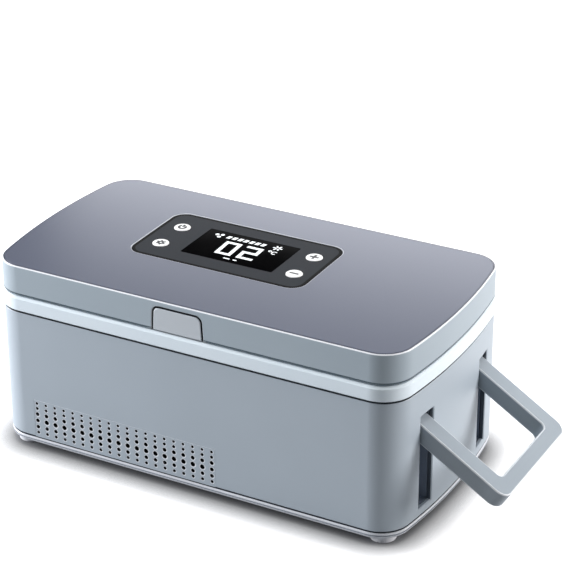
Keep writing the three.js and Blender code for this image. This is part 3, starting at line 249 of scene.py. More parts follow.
def finish(tree, tone, colours, grain, roughness, relief, sockets):
    """Ends a material. A tone pattern shifts its colour between two, and a grain pattern varies its
    roughness and stands out by a strength and a height in millimetres."""
    tint = {0: tone, 6: linear(colours[0]), 7: linear(colours[1])}
    gloss = {"Value": grain, "To Min": roughness[0], "To Max": roughness[1]}
    bump = {"Height": grain, "Strength": relief[0], "Distance": relief[1] * MM}
    shader = add_node(
        tree,
        "ShaderNodeBsdfPrincipled",
        {
            "Base Color": add_node(tree, "ShaderNodeMix", tint, data_type="RGBA").outputs[2],
            "Roughness": add_node(tree, "ShaderNodeMapRange", gloss).outputs["Result"],
            "Normal": add_node(tree, "ShaderNodeBump", bump).outputs["Normal"],
            **sockets,
        },
    )
    add_node(tree, "ShaderNodeOutputMaterial", {"Surface": shader.outputs["BSDF"]})


def moulded_abs(name, shade, light, roughness):
    """Satin ABS from a spark-eroded mould: soft broad gloss, and a fine even grain.
    Fired ceramic and printed ink have much the same surface, and are made with it too.
    The grain is really about 0.1 mm, and is drawn at 0.6 mm so that it shows at all."""
    material, tree, place = blank_material(name)
    flow = add_node(tree, "ShaderNodeTexNoise", {"Vector": place, "Scale": per(70), "Detail": 2})
    grain = add_node(tree, "ShaderNodeTexNoise", {"Vector": place, "Scale": per(0.6), "Detail": 3})
    finish(
        tree,
        flow.outputs["Fac"],
        (shade, light),
        grain.outputs["Fac"],
        roughness=(roughness - 0.05, roughness + 0.05),
        relief=(0.12, 0.02),
        sockets={"IOR": 1.53},
    )
    return material


def paint_over(tree, share, colour):
    """Covers a finished material's colour with another one, by a node's output from 0 to 1."""
    shader = next(node for node in tree.nodes if node.type == "BSDF_PRINCIPLED")
    tint = shader.inputs["Base Color"].links[0].from_socket
    mixed = add_node(tree, "ShaderNodeMix", {0: share, 6: tint, 7: linear(colour)}, data_type="RGBA")
    tree.links.new(mixed.outputs[2], shader.inputs["Base Color"])


def mask_colour(material, colour, *bands):
    """Changes a moulding's colour where a place lies within every band. A band is a direction, an origin,
    and the nearest and farthest distance, in millimetres, from the plane through that origin."""
    tree = material.node_tree
    place = next(node for node in tree.nodes if node.type == "TEX_COORD").outputs["Object"]
    share = None
    for direction, origin, low, high in bands:
        away = add_node(tree, "ShaderNodeVectorMath", {0: place, 1: origin}, operation="SUBTRACT").outputs[0]
        along = add_node(tree, "ShaderNodeVectorMath", {0: away, 1: direction}, operation="DOT_PRODUCT")
        size = add_node(tree, "ShaderNodeMath", {0: along.outputs["Value"]}, operation="ABSOLUTE")
        within = {0: size.outputs[0], 1: (low + high) / 2 * MM, 2: (high - low) / 2 * MM}
        inside = add_node(tree, "ShaderNodeMath", within, operation="COMPARE").outputs[0]
        if share:
            inside = add_node(tree, "ShaderNodeMath", {0: share, 1: inside}, operation="MULTIPLY").outputs[0]
        share = inside
    paint_over(tree, share, colour)


def surface(piece, material, crease=35):
    """Smooths the faces, keeps edges over the crease angle sharp and puts on the material."""
    piece.data.shade_smooth()
    piece.data.set_sharp_from_angle(angle=math.radians(crease))
    piece.modifiers.new("weighted normals", "WEIGHTED_NORMAL").keep_sharp = True
    settle(piece)
    piece.data.materials.clear()
    piece.data.materials.append(material)
    piece.data.polygons.foreach_set("material_index", [0] * len(piece.data.polygons))


SHADOW_LAP = 0.12
UP = (0, 0, 1)
FLOOR = (0, 0, 0)
pale_abs = moulded_abs("satin_abs_pale_grey", "#dde1e8", "#e4e8ee", 0.36)
# Painted shadow: the top of the upper bead and the spigot above it are coloured dark, as the shadow in the
# gap under the body.
mask_colour(pale_abs, "#3a4149", (UP, FLOOR, bead_top - SHADOW_LAP, base_high.z + OVER))
# Painted shade: the groove between the two beads is coloured darker, as the shade in it.
mask_colour(pale_abs, "#aab1ba", (UP, FLOOR, bead_bottom - LIP_GROOVE, bead_bottom))
surface(base, pale_abs)


def node_tree(name, inputs):
    """An empty Geometry Nodes tree with a geometry in and out and named inputs; gives its input node too."""
    tree = bpy.data.node_groups.new(name, "GeometryNodeTree")
    tree.interface.new_socket("Geometry", in_out="INPUT", socket_type="NodeSocketGeometry")
    for label, kind in inputs.items():
        tree.interface.new_socket(label, in_out="INPUT", socket_type="NodeSocket" + kind)
    tree.interface.new_socket("Geometry", in_out="OUTPUT", socket_type="NodeSocketGeometry")
    return tree, add_node(tree, "NodeGroupInput").outputs


def end_tree(tree, geometry, material):
    """Ends a tree: makes its instances real, puts on the material and gives the result out."""
    real = add_node(tree, "GeometryNodeRealizeInstances", {"Geometry": geometry})
    dressed = add_node(tree, "GeometryNodeSetMaterial", {"Geometry": real.outputs[0], "Material": material})
    add_node(tree, "NodeGroupOutput", {0: dressed.outputs[0]})


def cut_and_end(tree, given, cutters):
    """Ends a tree that cuts instances out of the geometry it is given."""
    real = add_node(tree, "GeometryNodeRealizeInstances", {"Geometry": cutters})
    meshes = {"Mesh 1": given["Geometry"], "Mesh 2": real.outputs[0]}
    opened = add_node(tree, "GeometryNodeMeshBoolean", meshes, operation="DIFFERENCE", solver="EXACT")
    end_tree(tree, opened.outputs["Mesh"], given["Finish"])


def run_tree(piece, tree, values):
    """Puts a tree on a piece, with its inputs set by their identifiers."""
    change = piece.modifiers.new(tree.name, "NODES")
    change.node_group = tree
    for socket in tree.interface.items_tree:
        if socket.name in values:
            change[socket.identifier] = values[socket.name]


intake_tree, given = node_tree(
    "intake_slots",
    {
        "Middle": "Vector",
        "Reach": "Float",
        "Slot Width": "Float",
        "Pitch": "Float",
        "Slots": "Int",
        "Depth": "Float",
        "Finish": "Material",
    },
)
gaps = add_node(intake_tree, "ShaderNodeMath", {0: given["Slots"], 1: 1}, operation="SUBTRACT").outputs[0]
span = add_node(intake_tree, "ShaderNodeMath", {0: gaps, 1: given["Pitch"]}, operation="MULTIPLY").outputs[0]
first = add_node(intake_tree, "ShaderNodeMath", {0: span, 1: -0.5}, operation="MULTIPLY").outputs[0]
start = add_node(intake_tree, "ShaderNodeCombineXYZ", {"X": first})
step = add_node(intake_tree, "ShaderNodeCombineXYZ", {"X": given["Pitch"]})
line = add_node(
    intake_tree,
    "GeometryNodeMeshLine",
    {"Count": given["Slots"], "Start Location": start.outputs[0], "Offset": step.outputs[0]},
)
place = add_node(intake_tree, "GeometryNodeInputPosition").outputs[0]
across = add_node(intake_tree, "ShaderNodeSeparateXYZ", {0: place}).outputs["X"]
across = add_node(intake_tree, "ShaderNodeMath", {0: across, 1: 2}, operation="POWER").outputs[0]
reach = add_node(intake_tree, "ShaderNodeMath", {0: given["Reach"], 1: 2}, operation="POWER").outputs[0]
rest = add_node(intake_tree, "ShaderNodeMath", {0: reach, 1: across}, operation="SUBTRACT").outputs[0]
half_chord = add_node(intake_tree, "ShaderNodeMath", {0: rest}, operation="SQRT").outputs[0]
chord = add_node(intake_tree, "ShaderNodeMath", {0: half_chord, 1: 2}, operation="MULTIPLY").outputs[0]
slot_size = {"X": given["Slot Width"], "Y": chord, "Z": given["Depth"]}
slots = add_node(
    intake_tree,
    "GeometryNodeInstanceOnPoints",
    {
        "Points": line.outputs["Mesh"],
        "Instance": add_node(intake_tree, "GeometryNodeMeshCube").outputs["Mesh"],
        "Scale": add_node(intake_tree, "ShaderNodeCombineXYZ", slot_size).outputs[0],
    },
)
moved = {"Geometry": slots.outputs["Instances"], "Translation": given["Middle"]}
cut_and_end(intake_tree, given, add_node(intake_tree, "GeometryNodeTransform", moved).outputs[0])

INTAKE_SLOT = 2.4
INTAKE_PITCH = 4.8
INTAKE_SLOTS = 9
INTAKE_REACH = 21
fan_middle = middle_and_half("fan_frame")[0]
run_tree(
    base,
    intake_tree,
    {
        "Middle": row_place(fan_middle.x, fan_middle.y, base_low.z),
        "Reach": INTAKE_REACH * MM,
        "Slot Width": INTAKE_SLOT * MM,
        "Pitch": INTAKE_PITCH * MM,
        "Slots": INTAKE_SLOTS,
        "Depth": 4 * BASE_FLOOR * MM,
        "Finish": pale_abs,
    },
)
settle(base)
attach(base, "case")
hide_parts("base_plate")


# Feet: four round pads of pale grey silicone rubber, pressed into seats in the base plate.
# They stand the case 4 mm off the table, so that the fan can breathe.
def silicone(name, shade, light):
    """Cast silicone rubber: matt, with a dusty bloom and a slight orange-peel relief."""
    material, tree, place = blank_material(name)
    bloom = add_node(tree, "ShaderNodeTexNoise", {"Vector": place, "Scale": per(2.5), "Detail": 4})
    pattern = bloom.outputs["Fac"]
    finish(
        tree,
        pattern,
        (shade, light),
        pattern,
        roughness=(0.56, 0.68),
        relief=(0.2, 0.05),
        sockets={"IOR": 1.41},
    )
    return material


four_tree, given = node_tree(
    "set_of_four",
    {"Length Apart": "Float", "Depth Apart": "Float", "Finish": "Material"},
)
places = add_node(
    four_tree,
    "GeometryNodeMeshGrid",
    {"Size X": given["Length Apart"], "Size Y": given["Depth Apart"], "Vertices X": 2, "Vertices Y": 2},
)
four = add_node(
    four_tree,
    "GeometryNodeInstanceOnPoints",
    {"Points": places.outputs["Mesh"], "Instance": given["Geometry"]},
)
end_tree(four_tree, four.outputs["Instances"], given["Finish"])


def set_of_four(piece, nodes, material):
    """Puts copies of a piece made at the case's middle where four CAD nodes are."""
    apart = middle_and_half(nodes[2])[0] - middle_and_half(nodes[0])[0]
    run_tree(
        piece,
        four_tree,
        {"Length Apart": apart.x * MM, "Depth Apart": apart.y * MM, "Finish": material},
    )
    settle(piece)
    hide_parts(*nodes)


foot_low, foot_high = corners(FOOT_NODES[0])
foot_radius = (foot_high.x - foot_low.x) / 2
FOOT_ROUND = 0.8
feet = turned(
    "feet",
    [
        (foot_radius - 2 * FOOT_ROUND, foot_low.z),
        *arc(foot_radius - FOOT_ROUND, foot_low.z + FOOT_ROUND, FOOT_ROUND, -90, 0),
        (foot_radius, foot_high.z),
    ],
)
foot_rubber = silicone("silicone_pale_grey", "#dcdee3", "#e6e9ee")
surface(feet, foot_rubber)
set_of_four(feet, FOOT_NODES, foot_rubber)
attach(feet, "case")


# Base screws: zinc-plated steel, with flat heads and cross recesses, let into the base plate.
# They run up into bosses of the body shell.
def zinc_steel(name):
    """Zinc-plated steel: bright, with slightly uneven gloss and fine marks from the plating bath.
    The marks are really about 0.1 mm, and are drawn at 0.8 mm so that they show at all."""
    material, tree, place = blank_material(name)
    marks = add_node(tree, "ShaderNodeTexNoise", {"Vector": place, "Scale": per(0.8), "Detail": 4})
    pattern = marks.outputs["Fac"]
    finish(
        tree,
        pattern,
        ("#a9adb3", "#cfd3d8"),
        pattern,
        roughness=(0.24, 0.4),
        relief=(0.08, 0.01),
        sockets={"Metallic": 1},
    )
    return material


def block(name, low, high):
    """A square-edged block between two corners."""
    rings = [
        [(low[0], low[1], z), (high[0], low[1], z), (high[0], high[1], z), (low[0], high[1], z)]
        for z in (low[2], high[2])
    ]
    return skin(name, rings)


RECESS_LENGTH = 3.2
RECESS_WIDTH = 0.8
RECESS_DEPTH = 0.7
SCREW_HEAD = 1.1
SCREW_RADIUS = 1.4
HEAD_ROUND = 0.3
SMALL_SIDES = 24


def screw(name, node):
    """A flat-headed screw with its head down, at the case's middle and at its node's height."""
    low, high = corners(node)
    radius = (high.x - low.x) / 2
    piece = turned(
        name,
        [
            (radius - 2 * HEAD_ROUND, low.z),
            *arc(radius - HEAD_ROUND, low.z + HEAD_ROUND, HEAD_ROUND, -90, 0, steps=3),
            (radius, low.z + SCREW_HEAD),
            (SCREW_RADIUS, low.z + SCREW_HEAD),
            (SCREW_RADIUS, high.z - SCREW_RADIUS),
            (SCREW_RADIUS / 3, high.z),
        ],
        sides=SMALL_SIDES,
    )
    long, short = RECESS_LENGTH / 2, RECESS_WIDTH / 2
    arms = [
        block("recess", (-dx, -dy, low.z - OVER), (dx, dy, low.z + RECESS_DEPTH))
        for dx, dy in ((long, short), (short, long))
    ]
    carve(piece, *arms)
    return piece


steel = zinc_steel("zinc_plated_steel")
base_screws = screw("base_screws", BASE_SCREW_NODES[0])
surface(base_screws, steel)
set_of_four(base_screws, BASE_SCREW_NODES, steel)
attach(base_screws, "case")


# Cooling stack: a black ABS fan on the base, an aluminium heat sink, the ceramic cooling module and
# an aluminium cold plate. The CAD solids already have their shapes, so only their finishes are made here.
def dress(material, *nodes):
    """Gives CAD nodes a material."""
    for node in nodes:
        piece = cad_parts[node]
        piece.data.materials.clear()
        piece.data.materials.append(material)


def satin_aluminium(name, direction):
    """Anodised aluminium with drawn lines along a direction, each about 0.4 mm wide and 40 mm long."""
    material, tree, place = blank_material(name)
    stretch = [per(40) if along else per(0.4) for along in direction]
    drawn = add_node(tree, "ShaderNodeMapping", {"Vector": place, "Scale": stretch}).outputs[0]
    lines = add_node(tree, "ShaderNodeTexNoise", {"Vector": drawn, "Scale": 1, "Detail": 3}).outputs["Fac"]
    finish(
        tree,
        lines,
        ("#c3c7cb", "#dcdfe2"),
        lines,
        roughness=(0.32, 0.46),
        relief=(0.1, 0.01),
        sockets={"Metallic": 1},
    )
    return material


black_abs = moulded_abs("moulded_abs_black", "#17191b", "#1f2124", 0.5)
white_ceramic = moulded_abs("alumina_ceramic_white", "#efefea", "#f7f7f3", 0.55)
drawn_aluminium = satin_aluminium("drawn_aluminium", (False, True, False))
dress(black_abs, "fan_frame", "fan_rotor")
dress(drawn_aluminium, "heat_sink", "cold_plate")
dress(white_ceramic, "peltier_module")


# Foam: blocks of white expanded polystyrene round the chamber and in the lid.
# They are moulded to fit the space between the walls and the liners, and are held by these alone.
def bead_foam(name):
    """Expanded polystyrene: white beads about 3 mm across, with soft dark seams between them."""
    material, tree, place = blank_material(name)
    beads = add_node(tree, "ShaderNodeTexVoronoi", {"Vector": place, "Scale": per(3)}).outputs["Distance"]
    finish(
        tree,
        beads,
        ("#f6f6f2", "#dcdcd6"),
        beads,
        roughness=(0.8, 0.9),
        relief=(0.4, -0.3),
        sockets={"IOR": 1.55},
    )
    return material


dress(bead_foam("expanded_polystyrene"), "foam_block", "lid_foam")


# Power pack: four lithium cells in blue film lie in a black tray, with the main board above them.
# The key board in the lid is of the same green glass-fibre laminate as the main board,
# and the display's module is of black ABS like the tray.
def shrink_film(name):
    """PVC shrink film over a steel can: glossy blue, with faint rings where it shrank, about 9 mm apart."""
    material, tree, place = blank_material(name)
    waves = {"Vector": place, "Scale": per(9), "Distortion": 1.5}
    rings = add_node(tree, "ShaderNodeTexWave", waves, bands_direction="Y").outputs["Fac"]
    finish(
        tree,
        rings,
        ("#2a649b", "#3474ae"),
        rings,
        roughness=(0.24, 0.32),
        relief=(0.1, 0.05),
        sockets={"IOR": 1.53},
    )
    return material


def green_laminate(name):
    """Solder mask over glass fibre: glossy green, with copper tracks that show paler and stand proud.
    The tracks are really about 0.3 mm wide, and are drawn near 1 mm so that they show at all."""
    material, tree, place = blank_material(name)
    bricks = {"Vector": place, "Scale": per(9), "Mortar Size": 0.05}
    tracks = add_node(tree, "ShaderNodeTexBrick", bricks).outputs["Fac"]
    finish(
        tree,
        tracks,
        ("#1d5837", "#2f7a4e"),
        tracks,
        roughness=(0.32, 0.38),
        relief=(0.3, 0.04),
        sockets={"IOR": 1.5},
    )
    return material


CELL_NODES = ("battery_cell_1", "battery_cell_2", "battery_cell_3", "battery_cell_4")
dress(black_abs, "battery_tray", "display_module")
dress(shrink_film("pvc_shrink_film_blue"), *CELL_NODES)
dress(green_laminate("glass_fibre_laminate_green"), "main_board", "key_board")


# Power inlet: a socket of black ABS with a centre pin, moulded round so that a lead's plug fits it.
# Its square block lies inside the case, and its nose stands in a hole, flush with the back wall.
inlet_low, inlet_high = corners("power_inlet")
inlet_middle = middle_and_half("power_inlet")[0]
WALL = 2.2
INLET_NOSE = 4.2
INLET_MOUTH = 3.1
INLET_PIN = 1.0
MOUTH_DEPTH = 9
NOSE_ROUND = 0.5
nose_end = inlet_high.y
block_end = HALF_DEPTH - WALL - SEAT_ROOM
inlet = turned(
    "power_socket",
    [
        (INLET_NOSE, block_end - OVER),
        (INLET_NOSE, nose_end - NOSE_ROUND),
        *arc(INLET_NOSE - NOSE_ROUND, nose_end - NOSE_ROUND, NOSE_ROUND, 0, 90),
        *arc(INLET_MOUTH + NOSE_ROUND, nose_end - NOSE_ROUND, NOSE_ROUND, 90, 180),
        (INLET_MOUTH, nose_end - MOUTH_DEPTH),
        (INLET_PIN, nose_end - MOUTH_DEPTH),
        (INLET_PIN, nose_end - WALL - INLET_PIN),
        *arc(0, nose_end - WALL - INLET_PIN, INLET_PIN, 0, 75),
    ],
    (inlet_middle.x, 0, inlet_middle.z),
    "y",
)
carve(inlet, block("body", inlet_low, (inlet_high.x, block_end, inlet_high.z)), operation="UNION")
surface(inlet, black_abs)
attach(inlet, "case")
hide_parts("power_inlet")


# Body shell: the open tub of the case, one moulding in satin blue-grey ABS.
# Its foot has a notch for the vent plate, and two windows in the bowed end take the handle's arms.
SHELL_ROUND = 0.6
JOINT_SHADOW = 0.25
body_bottom = corners("vent_grille")[0].z
body_top = shell_high.z / MM
body = level_skin(
    "body_tub",
    case_outline,
    [
        *arc(SHELL_ROUND, body_bottom + SHELL_ROUND, SHELL_ROUND, 270, 180),
        *arc(SHELL_ROUND, body_top - SHELL_ROUND, SHELL_ROUND, 180, 90),
        (WALL, body_top),
        (WALL, body_bottom),
    ],
    closed=True,
)

SLOT_CHAMFER = 0.6
SLOT_BOTTOM = 12.5
SLOT_TOP = 65
SLOT_ROOM = 2
SLOT_LAP = 0.05
shell_abs = moulded_abs("satin_abs_blue_grey", "#a6b2bc", "#b0bcc6", 0.4)
windows = []
for node in ("handle_socket_front", "handle_socket_rear"):
    socket_low, socket_high = corners(node)
    y = (socket_low.y + socket_high.y) / 2
    half_width = (socket_high.y - socket_low.y) / 2 - SLOT_ROOM
    windows.append(
        block(
            "window",
            (socket_low.x, y - half_width, SLOT_BOTTOM),
            (HALF_LENGTH + OVER, y + half_width, SLOT_TOP),
        )
    )
    lean = math.asin(y / END_RADIUS)
    mouth_x = HALF_LENGTH - END_RADIUS + END_RADIUS * math.cos(lean)
    rings = []
    for out, grow in ((-SLOT_CHAMFER, 0), (SLOT_CHAMFER, 2 * SLOT_CHAMFER)):
        side, low_z, high_z = half_width + grow, SLOT_BOTTOM - grow, SLOT_TOP + grow
        rings.append([
            (
                mouth_x + out * math.cos(lean) - across * math.sin(lean),
                y + out * math.sin(lean) + across * math.cos(lean),
                z,
            )
            for across, z in ((-side, low_z), (side, low_z), (side, high_z), (-side, high_z))
        ])
    windows.append(skin("chamfer", rings))
    # Painted shade: the windows' cut side walls are coloured dark, as the shade inside the windows.
    mask_colour(
        shell_abs,
        "#4a535d",
        ((0, 1, 0), row_place(0, y, 0), half_width - SLOT_LAP, half_width + SLOT_LAP),
        ((1, 0, 0), row_place(HALF_LENGTH, 0, 0), -OVER, END_BOW + WALL),
        (UP, FLOOR, SLOT_BOTTOM, SLOT_TOP),
    )
vent_low, vent_high = corners("vent_grille")
VENT_SEAM = 0.08
notch = block(
    "notch",
    (vent_low.x - VENT_SEAM, -HALF_DEPTH - OVER, body_bottom - OVER),
    (vent_high.x + VENT_SEAM, WALL + OVER - HALF_DEPTH, vent_high.z + VENT_SEAM),
)
hole_radius = INLET_NOSE + SEAT_ROOM
inlet_hole = turned(
    "hole",
    [(hole_radius, block_end), (hole_radius, HALF_DEPTH + OVER)],
    (inlet_middle.x, 0, inlet_middle.z),
    "y",
)
carve(body, *windows, notch, inlet_hole)
# Painted shadow: the tub's upper edge is coloured dark, as the shadow line in the joint under the rim band.
mask_colour(shell_abs, "#23282e", (UP, FLOOR, body_top - JOINT_SHADOW, body_top + OVER))
surface(body, shell_abs)
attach(body, "case")
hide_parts("body_shell")


# Vent plate: the perforated field at the lower front left, moulded in the body's ABS.
# Six rows of holes grow towards the fourth row from the top, and each hole has a small flared rim.
# The holes' walls are coloured dark, as the shadow that such narrow holes have.
VENT_EDGE = 0.12
VENT_PITCH = 5.56
VENT_COLUMNS = 20
VENT_MARGIN = 1.9
VENT_FROM_BASE = 3.1
VENT_WEB = 1.3
VENT_HOLES = (1.8, 2.2, 2.7, 2.3, 1.8, 1.6)  # across, from the lowest row up
VENT_END_HOLE = 2.3
HOLE_FLARE = 1.42
FLARE_DEPTH = 0.12
HOLE_SIDES = 20
FACE_SKIN = 0.01  # how far below a face a coloured edge begins
vent = skin(
    "vent_plate",
    [
        [
            (vent_low.x - grow, y, vent_low.z),
            (vent_high.x + grow, y, vent_low.z),
            (vent_high.x + grow, y, vent_high.z + grow),
            (vent_low.x - grow, y, vent_high.z + grow),
        ]
        for y, grow in (
            (-HALF_DEPTH, -VENT_EDGE),
            (VENT_EDGE - HALF_DEPTH, 0),
            (WALL - HALF_DEPTH, 0),
        )
    ],
)
vent_rows = [lip_top + VENT_FROM_BASE]
for lower, upper in zip(VENT_HOLES, VENT_HOLES[1:]):
    vent_rows.append(vent_rows[-1] + (lower + upper) / 2 + VENT_WEB)
vent_first = vent_low.x + VENT_MARGIN
cell_sides = [(vent_first + (i + 0.5) * VENT_PITCH, 0, 0) for i in range(VENT_COLUMNS - 1)]
cell_tops = [(0, 0, z + (hole + VENT_WEB) / 2) for z, hole in zip(vent_rows, VENT_HOLES[:-1])]
cells = bmesh.new()
cells.from_mesh(vent.data)
for place, normal in [(side, (1, 0, 0)) for side in cell_sides] + [(top, (0, 0, 1)) for top in cell_tops]:
    parts = [*cells.verts, *cells.edges, *cells.faces]
    bmesh.ops.bisect_plane(cells, geom=parts, plane_co=row_place(*place), plane_no=normal)
cells.to_mesh(vent.data)
cells.free()
drill = turned(
    "drill",
    [(1, WALL + OVER), (1, FLARE_DEPTH), (HOLE_FLARE, 0), (HOLE_FLARE, -OVER)],
    axis="y",
    sides=HOLE_SIDES,
)
drill.data.transform(Matrix.Translation(-CENTRE))

hole_tree, given = node_tree(
    "vent_row",
    {
        "Drill": "Object",
        "First": "Vector",
        "Pitch": "Float",
        "Columns": "Int",
        "Radius": "Float",
        "Finish": "Material",
    },
)
step = add_node(hole_tree, "ShaderNodeCombineXYZ", {"X": given["Pitch"]})
line = add_node(
    hole_tree,
    "GeometryNodeMeshLine",
    {"Count": given["Columns"], "Start Location": given["First"], "Offset": step.outputs[0]},
)
shape = add_node(hole_tree, "GeometryNodeObjectInfo", {"Object": given["Drill"]})
hole_size = add_node(hole_tree, "ShaderNodeCombineXYZ", {"X": given["Radius"], "Y": 1, "Z": given["Radius"]})
holes = add_node(
    hole_tree,
    "GeometryNodeInstanceOnPoints",
    {
        "Points": line.outputs["Mesh"],
        "Instance": shape.outputs["Geometry"],
        "Scale": hole_size.outputs[0],
    },
)
cut_and_end(hole_tree, given, holes.outputs["Instances"])

vent_abs = moulded_abs("satin_abs_vent_grey", "#a6b2bc", "#b0bcc6", 0.4)
for row_z, hole in zip(vent_rows, VENT_HOLES):
    ends = hole > VENT_END_HOLE
    runs = [(vent_first + ends * VENT_PITCH, VENT_PITCH, VENT_COLUMNS - 2 * ends, hole)]
    if ends:
        runs.append((vent_first, (VENT_COLUMNS - 1) * VENT_PITCH, 2, VENT_END_HOLE))
    for first_x, pitch, columns, size in runs:
        run_tree(
            vent,
            hole_tree,
            {
                "Drill": drill,
                "First": row_place(first_x, -HALF_DEPTH, row_z),
                "Pitch": pitch * MM,
                "Columns": columns,
                "Radius": size / 2,
                "Finish": vent_abs,
            },
        )
settle(vent)
bpy.data.objects.remove(drill)
FRONT = row_place(0, -HALF_DEPTH, 0)
INWARD = (0, 1, 0)
# Painted highlight: the flared rims round the holes are coloured pale, as the light they catch.
mask_colour(vent_abs, "#dde3e9", (INWARD, FRONT, FACE_SKIN, FLARE_DEPTH))
mask_colour(vent_abs, "#0c0e12", (INWARD, FRONT, FLARE_DEPTH, WALL + OVER))
surface(vent, vent_abs)
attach(vent, "case")
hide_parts("vent_grille")


# Handle sockets: deep boxes of dark matt ABS behind the windows, with a steel pin across each.
# They close the case off behind the handle's arms, which turn on the pins.
dark_abs = moulded_abs("matt_abs_dark_blue_grey", "#788392", "#808b9a", 0.55)
dress(dark_abs, "handle_socket_front", "handle_socket_rear")
dress(steel, "handle_pin_front", "handle_pin_rear")


# Handle: a bail of satin ABS with two arms and a bar, its edges softened, hung on the socket pins.
# It is drawn level with its pivot at the middle, then turned down to where it rests.
pin_middle, pin_half = middle_and_half("handle_pin_front")
PIVOT = (pin_middle.x, 0, pin_middle.z)
DROOP = 32
BAIL_REACH = 56.9
BAIL_ARM = 10.5
BAIL_BAR = 8.8
BAIL_THICKNESS = 9.5
BAIL_OUTER = 6.5
BAIL_INNER = 3.0
BAIL_EDGE = 0.8
OUTER_STEPS = 10
INNER_STEPS = 8
PIN_ROOM = 0.3
bail_half_width = middle_and_half("handle_bail")[1].y


def bail_outline(inset, root):
    """The bail's plan drawn in by an inset, with its arms' roots at a distance behind the pivot."""
    outer_x = BAIL_REACH - BAIL_OUTER
    outer_y = bail_half_width - BAIL_OUTER
    inner_x = BAIL_REACH - BAIL_BAR - BAIL_INNER
    inner_y = bail_half_width - BAIL_ARM - BAIL_INNER
    outer = BAIL_OUTER - inset
    inner = BAIL_INNER + inset
    points = [(-root, inset - bail_half_width)]
    points += arc(outer_x, -outer_y, outer, -90, 0, OUTER_STEPS)
    points += arc(outer_x, outer_y, outer, 0, 90, OUTER_STEPS)
    points += [(-root, bail_half_width - inset), (-root, inner_y + inner)]
    points += arc(inner_x, inner_y, inner, 90, 0, INNER_STEPS)
    points += arc(inner_x, -inner_y, inner, 0, -90, INNER_STEPS)
    return points + [(-root, -inner_y - inner)]


half = BAIL_THICKNESS / 2
EDGE_LEVELS = 4
SIDE_LEVELS = (-0.6, -0.3, 0, 0.3, 0.6)
upper = arc(BAIL_EDGE, half - BAIL_EDGE, BAIL_EDGE, 180, 90, EDGE_LEVELS)
sides = [(0, half * share) for share in SIDE_LEVELS]
levels = [(inset, -z) for inset, z in reversed(upper)] + sides + upper
bail_rings = []
turn_down = Matrix.Rotation(math.radians(DROOP), 3, "Y")
for inset, z in levels:
    root = math.sqrt(max(half**2 - z**2, 0))
    bail_rings.append([Vector(PIVOT) + turn_down @ Vector((x, y, z)) for x, y in bail_outline(inset, root)])
bail = skin("handle", bail_rings)
pin_radius = pin_half.z + PIN_ROOM
carve(bail, turned("bore", [(pin_radius, -HALF_DEPTH), (pin_radius, HALF_DEPTH)], PIVOT, "y", SMALL_SIDES))
handle_abs = moulded_abs("satin_abs_handle_grey", "#8d98a2", "#97a2ab", 0.48)
plane = turn_down @ Vector(UP)
# Painted highlight: the rounded edges of the bail's faces are coloured pale, as the light they catch.
mask_colour(handle_abs, "#dfe5ea", (plane, row_place(*PIVOT), half - BAIL_EDGE, half - 2 * FACE_SKIN))
surface(bail, handle_abs)
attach(bail, "handle")
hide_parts("handle_bail")


# Chamber liner: the tray for pens and vials, pressed from anodised aluminium with a rounded floor.
# It hangs by its flange in the rim's deck, and the cold plate lies under it.
liner_low, liner_high = corners("chamber_liner")
FLANGE_WIDTH = 3
FLANGE = 0.8
LINER = 1.2
LINER_CORNER = 9.2
FLOOR_ROUND = 4.0


def rounded_rect(length, depth, radius, x=0, y=0, steps=10):
    """An outline with round corners, as a function of how far it is drawn in."""
    def outline(inset):
        """Its points, counter-clockwise from the right."""
        dx, dy = length / 2 - radius, depth / 2 - radius
        corner = radius - inset
        points = []
        for i, (cx, cy) in enumerate(((dx, dy), (-dx, dy), (-dx, -dy), (dx, -dy))):
            points += arc(x + cx, y + cy, corner, 90 * i, 90 * i + 90, steps)
        return points
    return outline


liner_outline = rounded_rect(
    liner_high.x - liner_low.x - 2 * FLANGE_WIDTH,
    liner_high.y - liner_low.y - 2 * FLANGE_WIDTH,
    LINER_CORNER,
)
flange_bottom = liner_high.z - FLANGE
inner_round = FLOOR_ROUND - LINER
liner = level_skin(
    "chamber_tray",
    liner_outline,
    [
        (FLOOR_ROUND + OVER, liner_low.z),
        *arc(FLOOR_ROUND, liner_low.z + FLOOR_ROUND, FLOOR_ROUND, 270, 180),
        (0, flange_bottom),
        (-FLANGE_WIDTH, flange_bottom),
        (-FLANGE_WIDTH, liner_high.z),
        (LINER / 2, liner_high.z),
        (LINER, liner_high.z - LINER / 2),
        *arc(FLOOR_ROUND, liner_low.z + FLOOR_ROUND, inner_round, 180, 270),
        (FLOOR_ROUND + OVER, liner_low.z + LINER),
    ],
)
surface(liner, satin_aluminium("anodised_aluminium", (True, False, False)))
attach(liner, "case")
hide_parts("chamber_liner")


# Rim band: the pale blue ring between body and lid, one moulding with the deck round the chamber.
# Its upper edge is bevelled, and the outer knuckles of the two hinges stand on its back.
# Its spigot goes into the body, and is coloured dark as painted shade, for the shadow line that the joint
# shows.
BAND_PROUD = 0.7
BAND_BEVEL = 1.3
SPIGOT_DROP = 4.4
DECK = 2.5
DECK_OVER_FLANGE = 0.15
LINER_ROOM = 0.3
HINGE_NODES = ("hinge_pin_left", "hinge_pin_right")
KNUCKLE_RADIUS = 3.4
KNUCKLE_END = 7
KNUCKLE_EDGE = 0.4
KNUCKLE_SIDES = 32
hinge_middle, hinge_half = middle_and_half(HINGE_NODES[0])
HINGE_Y = hinge_middle.y
HINGE_Z = hinge_middle.z
HINGE_PIN = hinge_half.z
HINGE_LINE = (0, HINGE_Y, HINGE_Z)
band_low = corners("rim_band")[0]
band_bottom = band_low.z + SPIGOT_DROP
band_top = liner_high.z + DECK_OVER_FLANGE
spigot_inner = SPIGOT_INSET + SPIGOT_WALL
